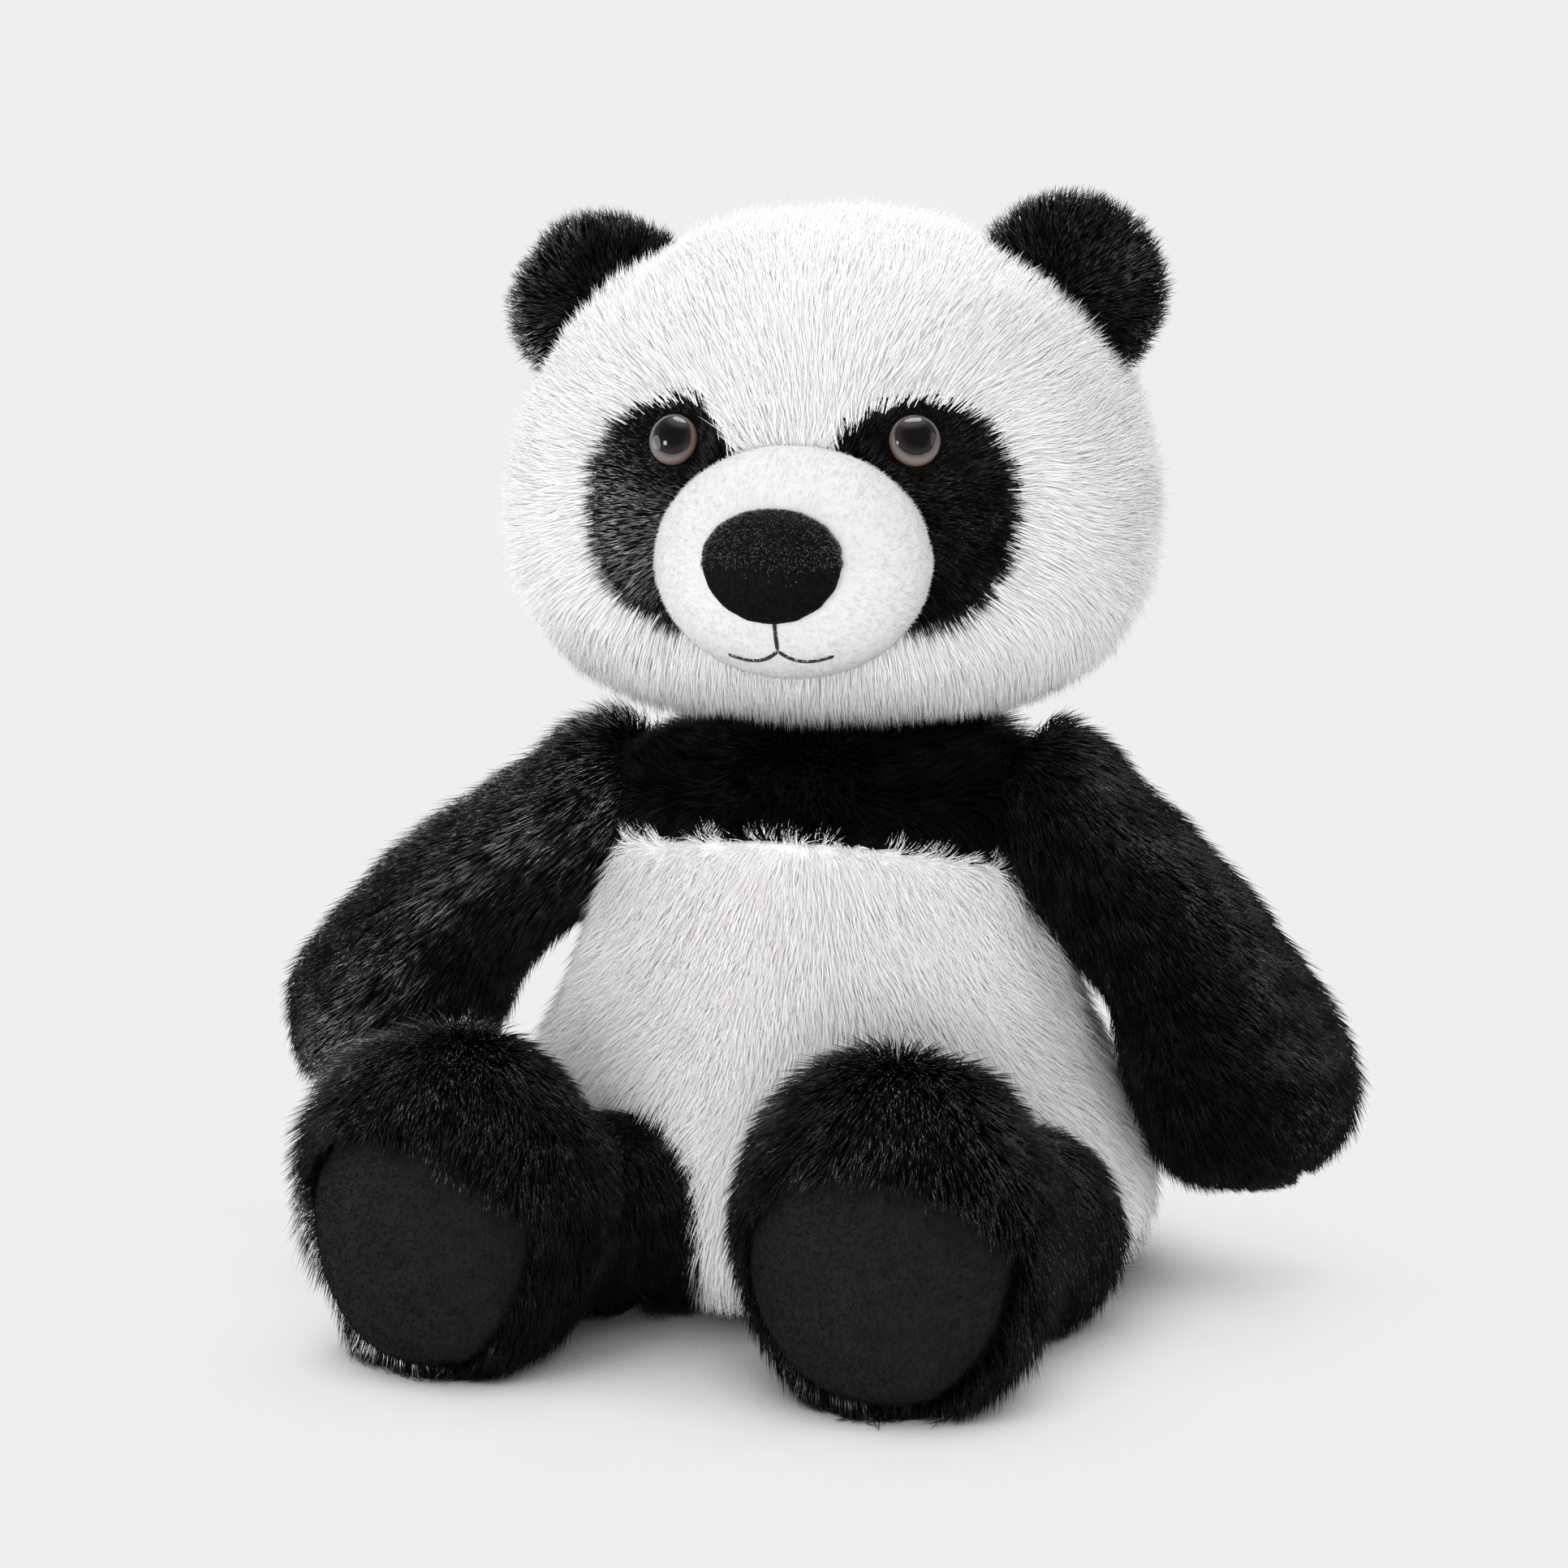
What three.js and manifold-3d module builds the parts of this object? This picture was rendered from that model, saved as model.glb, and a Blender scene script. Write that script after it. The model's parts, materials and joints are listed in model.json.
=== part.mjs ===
// A sitting plush panda about 340 mm tall, built from sewn fabric panels, fibre stuffing, a pellet bag,
// safety eyes and thread. It faces -Y with its own left side at +X, and stands on z = 0.
// Units are millimetres, +Z is up, and the origin is on the floor under the middle of the body.
import * as THREE from 'three';
import { mergeVertices } from 'three/addons/utils/BufferGeometryUtils.js';
import Module from 'manifold-3d';

const wasm = await Module();
wasm.setup();

// ---- sewing allowances ----
const SKIN = 4; // backed plush fabric
const SHORT_PILE = 3; // thinner fabric of the muzzle
const SEAM_GAP = 0.4; // space along every seam line
const FILL_GAP = 0.5; // space between a skin and its stuffing
const REST_GAP = 0.4; // space between neighbours that touch
const SWING_GAP = 2; // space round a part that turns
const BIG = 1000; // side of the boxes that cut a form in two

// ---- body ----
const BODY_DEPTH = 0.85; // front-to-back over side-to-side
const BODY_TOP = 168;
const BODY_OUTLINE = [
  [79, 0], [99, 11], [105, 28], [100, 48], [87, 70], [75, 96], [70, 122], [69, 142], [66, 158], [58, 168],
]; // half width, height
const SEAT_HEIGHT = 6; // the seat panel reaches this far up the side
const YOKE_PEAK = 141; // colour seam at the middle of the chest
const YOKE_DROP_LEFT = 16; // how far that seam falls towards the left arm
const YOKE_DROP_RIGHT = 9;
const PELLET_BAG = { radius: 46, depth: 0.72, y: 26, bottom: 4.6, top: 21, edge: 6 };
const BACK_SEAM = { bottom: 58, top: 112, stitches: 9, width: 3, thread: 0.6 };

// ---- neck and head ----
const NECK = new THREE.Vector3(0, 0, 178); // pivot of the head
const NECK_FILLING = 25.2;
const NECK_SOCKET = 26.5;
const NECK_THREAD = { radius: 29, thread: 1.1, height: 169.8 };
const HEAD_YAW = THREE.MathUtils.degToRad(2.3);
const HEAD_SHIFT = 2.5; // the head sits a little to the left of the neck
const HEAD = { middle: 240, width: 100, depth: 0.82, up: 91, down: 57, upPower: 2.05, downPower: 2.6 };
const EYE_PATCH = { x: 36.5, z: 244.2, halfWidth: 31, halfHeight: 37 };
const MUZZLE = { x: 1, y: -80, z: 231, halfWidth: 42, depth: 32, halfHeight: 34.5 };
const NOSE = { z: 231, halfWidth: 20.4, depth: 9, halfHeight: 16, taper: 0.07, shank: 2.5, length: 13 };
const MOUTH = { top: 214.5, fork: 206.5, end: 205, dip: 3.4, halfWidth: 15, thread: 0.7 };
const EYE = { x: 35, z: 265, radius: 7.5, dome: 4.8, plate: 1.5, shank: 2, length: 13 };
const EYE_WASHER = { radius: 8, bottom: -8, top: -6.4, room: 1 };
const NOSE_WASHER = { radius: 8, bottom: 5, top: 6.6, room: 1.5 };
const EAR = { radius: 28, thickness: 7.5, rise: 3, rim: 6, dish: 5 };
const EAR_LEFT = { x: 72.3, z: 308.4, tilt: THREE.MathUtils.degToRad(39) };
const EAR_RIGHT = { x: -72, z: 303.5, tilt: THREE.MathUtils.degToRad(-45) };
const EAR_FOLD = [-25, -12, 0, 12, 25].map(THREE.MathUtils.degToRad); // swept when the ear is trimmed

// ---- limbs: a round root that turns in a socket, then the limb along its own +Z ----
const ARM = { root: 26, tip: 31, reach: 107.5, bow: 10, filling: 15.5, mouth: 13.5 };
const ARM_LEFT = { root: [70, 0, 148], end: [132, -4, 67] };
const ARM_RIGHT = { root: [-68, 0, 146.5], end: [-146, 4, 76] };
const LEG = {
  root: 29, thigh: 26, thighLength: 52, filling: 21, mouth: 18, footAt: 83, footRadius: 45, footLength: 34,
};
const FOOT_WIDTH = 41 / 44;
const FOOT_HEIGHT = 49 / 44;
const LEG_LEFT = { root: [72, -60, 29.8], end: [45, -137, 47] };
const LEG_RIGHT = { root: [-43, -60, 29.8], end: [-89, -131, 47] };
const SOLE = { x: 5, halfWidth: 40, halfHeight: 33, drop: 13 };
const LEG_SWINGS = [-12, 14, 40].map(THREE.MathUtils.degToRad); // up, middle and down, for trimming the body
const LEG_SPREADS = [-8, 20].map(THREE.MathUtils.degToRad); // in and out
const ARM_SWEEP = { inner: 20, outer: 62, start: -19, end: 70 }; // 45 degree cone round the swing's axis
const ARM_LOWEST = THREE.MathUtils.degToRad(-2);

const ROUND = 16; // facets round a large form
const LIMB_ROUND = 12;
const SMALL_ROUND = 10; // facets round a small part

// ---- materials ----
function cloth(color, roughness = 0.95) {
  return new THREE.MeshStandardMaterial({ color, roughness, metalness: 0 });
}
const WHITE_FUR = cloth(0xf2f0ee);
const BLACK_FUR = cloth(0x0c0c0e);
const MUZZLE_PILE = cloth(0xf6f5f4, 0.9);
const SOLE_PILE = cloth(0x101012, 0.85);
const FLOCKING = cloth(0x0b0b0b, 0.8);
const BLACK_THREAD = cloth(0x111111, 0.7);
const WHITE_THREAD = cloth(0xe9e6e2, 0.8);
const FIBRE = cloth(0xf4f4f0, 1);
const BAG_CLOTH = cloth(0xcfc8bb, 0.9);
const EYE_LENS = new THREE.MeshStandardMaterial({ color: 0x6d6f72, roughness: 0.05, metalness: 0 });
const EYE_PLASTIC = new THREE.MeshStandardMaterial({ color: 0x2a211f, roughness: 0.3, metalness: 0 });
const WASHER_PLASTIC = new THREE.MeshStandardMaterial({ color: 0xe4e4e4, roughness: 0.5, metalness: 0 });

// ---- closed forms ----
// The solid of a closed three.js geometry.
function solid(geometry) {
  const bare = geometry.clone();
  bare.deleteAttribute('normal');
  bare.deleteAttribute('uv');
  const merged = mergeVertices(bare, 1e-4);
  const corners = merged.index.array;
  const triVerts = [];
  for (let i = 0; i < corners.length; i += 3) {
    const [a, b, c] = corners.slice(i, i + 3);
    if (a !== b && b !== c && c !== a) triVerts.push(a, b, c);
  }
  const mesh = new wasm.Mesh({
    numProp: 3,
    vertProperties: merged.attributes.position.array,
    triVerts: new Uint32Array(triVerts),
  });
  return new wasm.Manifold(mesh);
}

// A named mesh of a solid. Slivers that a cut leaves loose are dropped, so one body remains.
function piece(name, form, material) {
  const bodies = form.decompose().sort((a, b) => b.volume() - a.volume());
  const mesh = bodies[0].getMesh();
  const geometry = new THREE.BufferGeometry();
  geometry.setAttribute('position', new THREE.BufferAttribute(mesh.vertProperties, 3));
  geometry.setIndex(new THREE.BufferAttribute(mesh.triVerts, 1));
  geometry.computeVertexNormals();
  const node = new THREE.Mesh(geometry, material);
  node.name = name;
  return node;
}

// A form turned about Z from its outline of [radius, height] points, bottom to top.
function turned(outline, segments = ROUND) {
  const points = outline.map(([radius, height]) => new THREE.Vector2(radius, height));
  return new THREE.LatheGeometry(points, segments).rotateX(Math.PI / 2);
}

function rod(radius, bottom, top, segments = SMALL_ROUND) {
  return turned([[0, bottom], [radius, bottom], [radius, top], [0, top]], segments);
}

function washerRing(shank, { radius, bottom, top }) {
  const hole = shank + REST_GAP;
  return turned([[hole, bottom], [radius, bottom], [radius, top], [hole, top], [hole, bottom]], SMALL_ROUND);
}

function ball(radius, at, segments = ROUND) {
  return new THREE.SphereGeometry(radius, segments, segments / 2).translate(at.x, at.y, at.z);
}

function ellipsoid(rx, ry, rz, segments = ROUND) {
  return new THREE.SphereGeometry(1, segments, segments / 2).rotateX(Math.PI / 2).scale(rx, ry, rz);
}

function box(lowX, highX, lowY, highY, lowZ, highZ) {
  const size = [highX - lowX, highY - lowY, highZ - lowZ];
  return new THREE.BoxGeometry(...size).translate(
    (lowX + highX) / 2, (lowY + highY) / 2, (lowZ + highZ) / 2,
  );
}

// The part of everything in front of, or behind, a cut across one axis.
function half(axis, sign, gap = SEAM_GAP / 2) {
  const centre = [0, 0, 0];
  centre[axis] = sign * (BIG / 2 + gap);
  return solid(new THREE.BoxGeometry(BIG, BIG, BIG).translate(...centre));
}
const FRONT = () => half(1, -1);
const BACK = () => half(1, 1);

// A rounded prism along Y with an elliptical outline.
function ovalPrism(x, z, halfWidth, halfHeight, nearY, farY) {
  const outline = new THREE.Shape().absellipse(0, 0, halfWidth, halfHeight, 0, Math.PI * 2);
  const bar = new THREE.ExtrudeGeometry(outline, {
    depth: farY - nearY, bevelEnabled: false, curveSegments: ROUND / 2,
  });
  return bar.rotateX(Math.PI / 2).translate(x, farY, z);
}

// A thread of round section along a smooth path.
function thread(points, radius, steps) {
  const path = new THREE.CatmullRomCurve3(points.map((p) => new THREE.Vector3(...p)), false, 'centripetal');
  const section = new THREE.Shape().absarc(0, 0, radius, 0, Math.PI * 2);
  return new THREE.ExtrudeGeometry(section, { steps, curveSegments: 3, extrudePath: path });
}

// ---- body form ----
function bodyForm(inset) {
  const squeeze = 1 - (2 * inset) / BODY_TOP;
  const spline = new THREE.SplineCurve(BODY_OUTLINE.map(([r, z]) => new THREE.Vector2(r, z)));
  const side = spline.getPoints(9).map((p) => [p.x - inset, inset + p.y * squeeze]);
  const outline = [[0, inset], ...side, [0, BODY_TOP - inset]];
  return turned(outline, 22).scale(1, BODY_DEPTH, 1);
}

// Everything above, or below, the colour seam that arches over the belly.
function yokeRegion(above) {
  const gap = above ? SEAM_GAP / 2 : -SEAM_GAP / 2;
  const seam = [-BIG / 2, -75, -40, 0, 40, 75, BIG / 2].map((x) => {
    const fall = Math.min(1, Math.abs(x) / 75);
    const drop = x > 0 ? YOKE_DROP_LEFT : YOKE_DROP_RIGHT;
    return new THREE.Vector2(x, YOKE_PEAK + gap - drop * fall * fall);
  });
  const edge = above ? BIG : -BIG;
  const ends = [-BIG / 2, BIG / 2].map((x) => new THREE.Vector2(x, edge));
  const outline = new THREE.Shape([ends[0], ...seam, ends[1]]);
  return solid(
    new THREE.ExtrudeGeometry(outline, { depth: BIG, bevelEnabled: false })
      .rotateX(Math.PI / 2)
      .translate(0, BIG / 2, 0),
  );
}

// ---- limb forms ----
function arc(at, radius, length, from, to, steps) {
  return Array.from({ length: steps + 1 }, (_, i) => {
    const angle = from + ((to - from) * i) / steps;
    return [radius * Math.sin(angle), at + length * Math.cos(angle)];
  });
}

function armOutline(inset) {
  const root = ARM.root - inset;
  const tip = ARM.tip - inset;
  return [
    ...arc(0, root, root, Math.PI, 1.2, 4),
    [22.5 - inset, 32], [23.5 - inset, 60], [28.5 - inset, 84],
    ...arc(ARM.reach, tip, tip, 1.6, 0, 4),
  ];
}

function legOutline(inset) {
  const root = LEG.root - inset;
  return [
    ...arc(0, root, root, Math.PI, 1.15, 4),
    [LEG.thigh - inset, 28], [LEG.thigh - 0.5 - inset, 42], [37 - inset, 55],
    ...arc(LEG.footAt, LEG.footRadius - inset, LEG.footLength - inset, 1.9, 0, 5),
  ];
}

// Turns an outline into a limb: bowed towards -Y by bow, and given the foot's oval section by foot.
function limbGeometry(outline, { bow = 0, foot = false }) {
  const geometry = turned(outline, LIMB_ROUND);
  const at = geometry.attributes.position;
  for (let i = 0; i < at.count; i += 1) {
    const along = THREE.MathUtils.clamp(at.getZ(i) / ARM.reach, 0, 1);
    const curve = 16 * along * along * (1 - along) * (1 - along);
    const swell = foot ? THREE.MathUtils.smoothstep(at.getZ(i), 30, 66) : 0;
    at.setX(i, at.getX(i) * THREE.MathUtils.lerp(1, FOOT_WIDTH, swell));
    at.setY(i, at.getY(i) * THREE.MathUtils.lerp(1, FOOT_HEIGHT, swell) - bow * curve);
  }
  return geometry;
}

function armForm(inset) {
  return limbGeometry(armOutline(inset), { bow: ARM.bow });
}

// A leg, cut flat where its foot rests on the floor; at is where the leg stands.
function legForm(inset, at) {
  const floor = solid(box(-BIG, BIG, -BIG, BIG, inset + REST_GAP / 2, BIG).applyMatrix4(at.clone().invert()));
  return solid(limbGeometry(legOutline(inset), { foot: true })).intersect(floor);
}

// Where a limb stands: local Z runs from root to end, and local X lies as near to the side hint as it can.
function limbMatrix({ root, end }, side) {
  const from = new THREE.Vector3(...root);
  const z = new THREE.Vector3(...end).sub(from).normalize();
  const x = new THREE.Vector3(...side).addScaledVector(z, -z.dot(new THREE.Vector3(...side))).normalize();
  const y = new THREE.Vector3().crossVectors(z, x);
  return new THREE.Matrix4().makeBasis(x, y, z).setPosition(from);
}

// The local Y of both arms points at the body, so the bow goes outwards.
const ARM_LEFT_AT = limbMatrix(ARM_LEFT, [0, -1, 0]);
const ARM_RIGHT_AT = limbMatrix(ARM_RIGHT, [0, 1, 0]);
// The local X of both legs points to +X and local Y points up.
const LEG_LEFT_AT = limbMatrix(LEG_LEFT, [1, 0, 0]);
const LEG_RIGHT_AT = limbMatrix(LEG_RIGHT, [1, 0, 0]);

// A turn about an axis through a point.
function turnAbout(point, axis, angle) {
  const centre = new THREE.Vector3(...point);
  return new THREE.Matrix4()
    .makeTranslation(centre)
    .multiply(new THREE.Matrix4().makeRotationAxis(new THREE.Vector3(...axis), angle))
    .multiply(new THREE.Matrix4().makeTranslation(centre.clone().negate()));
}

// The thigh with room round it, as far as the body reaches along it.
function thighRoom() {
  const radius = LEG.thigh + SWING_GAP;
  return rod(radius, 0, LEG.thighLength, LIMB_ROUND);
}

// What the arm sweeps as it swings: a hollow cone round the side-to-side axis through the shoulder.
function armSweep(limb) {
  const side = Math.sign(limb.root[0]);
  const { inner, outer, start, end } = ARM_SWEEP;
  const cone = turned([[0, start], [inner, start], [outer, start + outer - inner], [outer, end], [0, end]]);
  return cone.rotateY((side * Math.PI) / 2).translate(...limb.root);
}

// ---- body ----
// Room for the limbs, the neck filling and the movement they have.
function bodyClearance() {
  const cuts = [solid(ball(NECK_SOCKET, NECK))];
  for (const [limb, at] of [[ARM_LEFT, ARM_LEFT_AT], [ARM_RIGHT, ARM_RIGHT_AT]]) {
    const inward = [0, -Math.sign(limb.root[0]), 0];
    const lowest = turnAbout(limb.root, inward, ARM_LOWEST).multiply(at);
    cuts.push(solid(armForm(-SWING_GAP).applyMatrix4(lowest)));
    cuts.push(solid(ball(ARM.root + SWING_GAP, new THREE.Vector3(...limb.root))));
    cuts.push(solid(armSweep(limb)));
  }
  for (const [limb, at] of [[LEG_LEFT, LEG_LEFT_AT], [LEG_RIGHT, LEG_RIGHT_AT]]) {
    const outward = [0, 0, Math.sign(limb.root[0])];
    cuts.push(solid(ball(LEG.root + SWING_GAP, new THREE.Vector3(...limb.root))));
    for (const swing of LEG_SWINGS) {
      for (const spread of LEG_SPREADS) {
        const moved = turnAbout(limb.root, [1, 0, 0], swing)
          .multiply(turnAbout(limb.root, outward, spread))
          .multiply(at);
        cuts.push(solid(thighRoom().applyMatrix4(moved)));
      }
    }
  }
  return wasm.Manifold.union(cuts);
}

function pelletBag(growth) {
  const { radius, depth, y, bottom, top, edge } = PELLET_BAG;
  const r = radius + growth;
  const roof = top + growth;
  const lower = [[0, bottom], [r - edge, bottom], [r, bottom + edge]];
  const outline = [...lower, [r, roof - edge], [r - edge, roof], [0, roof]];
  return turned(outline, ROUND).scale(1, depth, 1).translate(0, y, 0);
}

function backSeamThread() {
  const { bottom, top, stitches, width, thread: radius } = BACK_SEAM;
  const spline = new THREE.SplineCurve(BODY_OUTLINE.map(([r, z]) => new THREE.Vector2(r, z)));
  const outline = spline.getPoints(80);
  const points = Array.from({ length: stitches }, (_, i) => {
    const z = bottom + ((top - bottom) * i) / (stitches - 1);
    const near = outline.reduce((a, b) => (Math.abs(b.y - z) < Math.abs(a.y - z) ? b : a));
    return [i % 2 ? width / 2 : -width / 2, near.x * BODY_DEPTH + radius + 1.2, z];
  });
  return thread(points, radius, stitches * 2);
}

function body() {
  const room = bodyClearance();
  const shell = solid(bodyForm(0)).subtract(solid(bodyForm(SKIN))).subtract(room);
  const seatCut = solid(box(-BIG, BIG, -BIG, BIG, -BIG, SEAT_HEIGHT - SEAM_GAP / 2));
  const sides = shell.subtract(solid(box(-BIG, BIG, -BIG, BIG, -BIG, SEAT_HEIGHT + SEAM_GAP / 2)));
  const upper = sides.intersect(yokeRegion(true));
  const lower = sides.intersect(yokeRegion(false));
  const recess = solid(pelletBag(FILL_GAP)).add(
    solid(
      rod(PELLET_BAG.radius - PELLET_BAG.edge, 0, PELLET_BAG.top / 2)
        .scale(1, PELLET_BAG.depth, 1)
        .translate(0, PELLET_BAG.y, 0),
    ),
  );
  const group = new THREE.Group();
  group.add(
    piece('chest_yoke_front', upper.intersect(FRONT()), BLACK_FUR),
    piece('back_yoke', upper.intersect(BACK()), BLACK_FUR),
    piece('belly_panel', lower.intersect(FRONT()), WHITE_FUR),
    piece('back_panel', lower.intersect(BACK()), WHITE_FUR),
    piece('seat_panel', shell.intersect(seatCut), WHITE_FUR),
    piece('body_stuffing', solid(bodyForm(SKIN + FILL_GAP)).subtract(room).subtract(recess), FIBRE),
    piece('pellet_bag', solid(pelletBag(0)), BAG_CLOTH),
    piece('closing_seam_thread', solid(backSeamThread()), WHITE_THREAD),
  );
  return group;
}

// ---- neck ----
function neck() {
  const { radius, thread: thickness, height } = NECK_THREAD;
  const ring = new THREE.TorusGeometry(radius, thickness, 5, 20).translate(0, 0, height);
  const group = new THREE.Group();
  group.add(
    piece('neck_seam_thread', solid(ring), WHITE_THREAD),
    piece('neck_filling', solid(ball(NECK_FILLING, NECK, 14)), FIBRE),
  );
  return group;
}

// ---- head ----
// The neck's pivot as the turned and shifted head sees it.
const NECK_IN_HEAD = NECK.clone()
  .sub(new THREE.Vector3(HEAD_SHIFT, 0, 0))
  .applyAxisAngle(new THREE.Vector3(0, 0, 1), -HEAD_YAW);

function headForm(inset) {
  const { middle, width, up, down, upPower, downPower } = HEAD;
  const quarter = (power, height, from, to, steps) =>
    Array.from({ length: steps + 1 }, (_, i) => {
      const angle = from + ((to - from) * i) / steps;
      return [
        (width - inset) * Math.cos(angle) ** (2 / power),
        middle + Math.sign(to + from) * (height - inset) * Math.abs(Math.sin(angle)) ** (2 / power),
      ];
    });
  const outline = [
    ...quarter(downPower, down, -Math.PI / 2, 0, 5),
    ...quarter(upPower, up, 0, Math.PI / 2, 6).slice(1),
  ];
  outline[0][0] = 0;
  outline[outline.length - 1][0] = 0;
  const depth = (HEAD.width * HEAD.depth - inset) / (HEAD.width - inset);
  return turned(outline, 22).scale(1, depth, 1);
}

// Where the head's outer surface stands at x, z: y on the face side, and its outward direction.
function headSurface(x, z) {
  const { middle, width, depth, up, down, upPower, downPower } = HEAD;
  const above = z >= middle;
  const height = above ? up : down;
  const power = above ? upPower : downPower;
  const level = (1 - Math.abs((z - middle) / height) ** power) ** (1 / power);
  const y = -width * depth * Math.sqrt(level ** 2 - (x / width) ** 2);
  const rise = (z - middle) / height ** 2;
  const out = new THREE.Vector3(x / width ** 2, y / (width * depth) ** 2, rise).normalize();
  return { at: new THREE.Vector3(x, y, z), out };
}

// A frame on the face whose local Z points straight out of the surface.
function faceFrame(x, z) {
  const { at, out } = headSurface(x, z);
  const turn = new THREE.Quaternion().setFromUnitVectors(new THREE.Vector3(0, 0, 1), out);
  return new THREE.Matrix4().compose(at, turn, new THREE.Vector3(1, 1, 1));
}

function muzzleForm(inset) {
  const { x, y, z, halfWidth, depth, halfHeight } = MUZZLE;
  return ellipsoid(halfWidth - inset, depth - inset, halfHeight - inset).translate(x, y, z);
}

function muzzleFront(x, z) {
  const { y, halfWidth, depth, halfHeight } = MUZZLE;
  const left = 1 - ((x - MUZZLE.x) / halfWidth) ** 2 - ((z - MUZZLE.z) / halfHeight) ** 2;
  return y - depth * Math.sqrt(left);
}

function eyePatchPrism(side, growth) {
  const { x, z, halfWidth, halfHeight } = EYE_PATCH;
  return ovalPrism(side * x, z, halfWidth + growth, halfHeight + growth, -BIG / 2, 0);
}

// The hole that an eye's shank and washer need in skin and stuffing.
function eyePocket(side) {
  const stem = rod(EYE.shank + REST_GAP, -EYE.length - 1, 3);
  const well = rod(EYE_WASHER.radius + EYE_WASHER.room, EYE_WASHER.bottom - EYE_WASHER.room, -SKIN);
  const frame = faceFrame(side * EYE.x, EYE.z);
  return { stem: solid(stem.applyMatrix4(frame)), well: solid(well.applyMatrix4(frame)) };
}

function eye(side, name) {
  const { radius, dome, plate, shank, length } = EYE;
  const group = new THREE.Group();
  group.applyMatrix4(faceFrame(side * EYE.x, EYE.z));
  const foot = REST_GAP;
  const lensAt = foot + plate + REST_GAP;
  const lens = [[0, lensAt], ...arc(lensAt, radius, dome, Math.PI / 2, 0, 5)];
  const backing = [[0, -length], [shank, -length], [shank, foot], [radius, foot], [radius, foot + plate],
    [0, foot + plate]];
  group.add(
    piece(`${name}_lens`, solid(turned(lens, SMALL_ROUND)), EYE_LENS),
    piece(`${name}_backing`, solid(turned(backing, SMALL_ROUND)), EYE_PLASTIC),
    piece(`${name}_washer`, solid(washerRing(shank, EYE_WASHER)), WASHER_PLASTIC),
  );
  return group;
}

// A nose wide at the brow and narrow below, standing on a shank that goes through the muzzle.
function noseForm() {
  const { halfWidth, depth, halfHeight, taper, shank, length } = NOSE;
  const dome = new THREE.SphereGeometry(1, 16, 8).rotateX(Math.PI / 2);
  const at = dome.attributes.position;
  for (let i = 0; i < at.count; i += 1) {
    const fit = 1 + taper * at.getZ(i) - 0.25 * taper * (1 - at.getZ(i) ** 2);
    at.setX(i, at.getX(i) * halfWidth * fit);
    at.setY(i, at.getY(i) * depth);
    at.setZ(i, at.getZ(i) * halfHeight);
  }
  const front = muzzleFront(0, NOSE.z);
  const stem = rod(shank, 0, length).rotateX(-Math.PI / 2).translate(0, front - 2, NOSE.z);
  return solid(dome.translate(0, front, NOSE.z)).subtract(solid(muzzleForm(-REST_GAP))).add(solid(stem));
}

function nosePocket() {
  const front = muzzleFront(0, NOSE.z);
  const stem = rod(NOSE.shank + REST_GAP, -5, NOSE.length + 1).rotateX(-Math.PI / 2);
  const { radius, top, room } = NOSE_WASHER;
  const well = rod(radius + room, SHORT_PILE, top + room).rotateX(-Math.PI / 2);
  return {
    stem: solid(stem.translate(0, front, NOSE.z)),
    well: solid(well.translate(0, front, NOSE.z)),
  };
}

// Embroidered mouth: a short drop from the nose that forks into a smile.
function mouthForm() {
  const { top, fork, end, dip, halfWidth, thread: radius } = MOUTH;
  const off = radius + REST_GAP;
  const on = (x, z) => [x, muzzleFront(x, z) - off, z - off * 0.6];
  const drop = [on(0, top), on(0, (top + fork) / 2), on(0, fork)];
  const smile = (side) => [0, 0.35, 0.7, 1].map((t) => {
    const z = fork + (end - fork) * t - dip * Math.sin(Math.PI * t ** 0.8);
    return on(side * halfWidth * t, z);
  });
  return solid(thread(drop, radius, 5))
    .add(solid(thread(smile(1), radius, 6)))
    .add(solid(thread(smile(-1), radius, 6)));
}

function earMatrix({ x, z, tilt }) {
  return new THREE.Matrix4().makeTranslation(x, 0, z).multiply(new THREE.Matrix4().makeRotationY(tilt));
}

// An ear is a flat dome whose foot follows the head and clears it as the ear folds.
function ear(place, name) {
  const { radius, thickness, rise, rim, dish } = EAR;
  const local = earMatrix(place);
  const base = new THREE.Vector3(0, 0, -rise);
  const dome = solid(ellipsoid(radius, thickness, radius + 1));
  const hollow = solid(ellipsoid(radius - rim, dish, radius - rim).translate(0, -thickness - 1, rim / 2));
  const headCuts = EAR_FOLD.map((angle) => {
    const fold = turnAbout(base.toArray(), [1, 0, 0], angle).multiply(local.clone().invert());
    return solid(headForm(-2 * REST_GAP).applyMatrix4(fold));
  });
  const form = dome.subtract(hollow).subtract(wasm.Manifold.union(headCuts));
  const group = new THREE.Group();
  group.applyMatrix4(local);
  group.add(
    piece(`${name}_front`, form.intersect(FRONT()), BLACK_FUR),
    piece(`${name}_back`, form.intersect(BACK()), BLACK_FUR),
  );
  return group;
}

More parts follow.
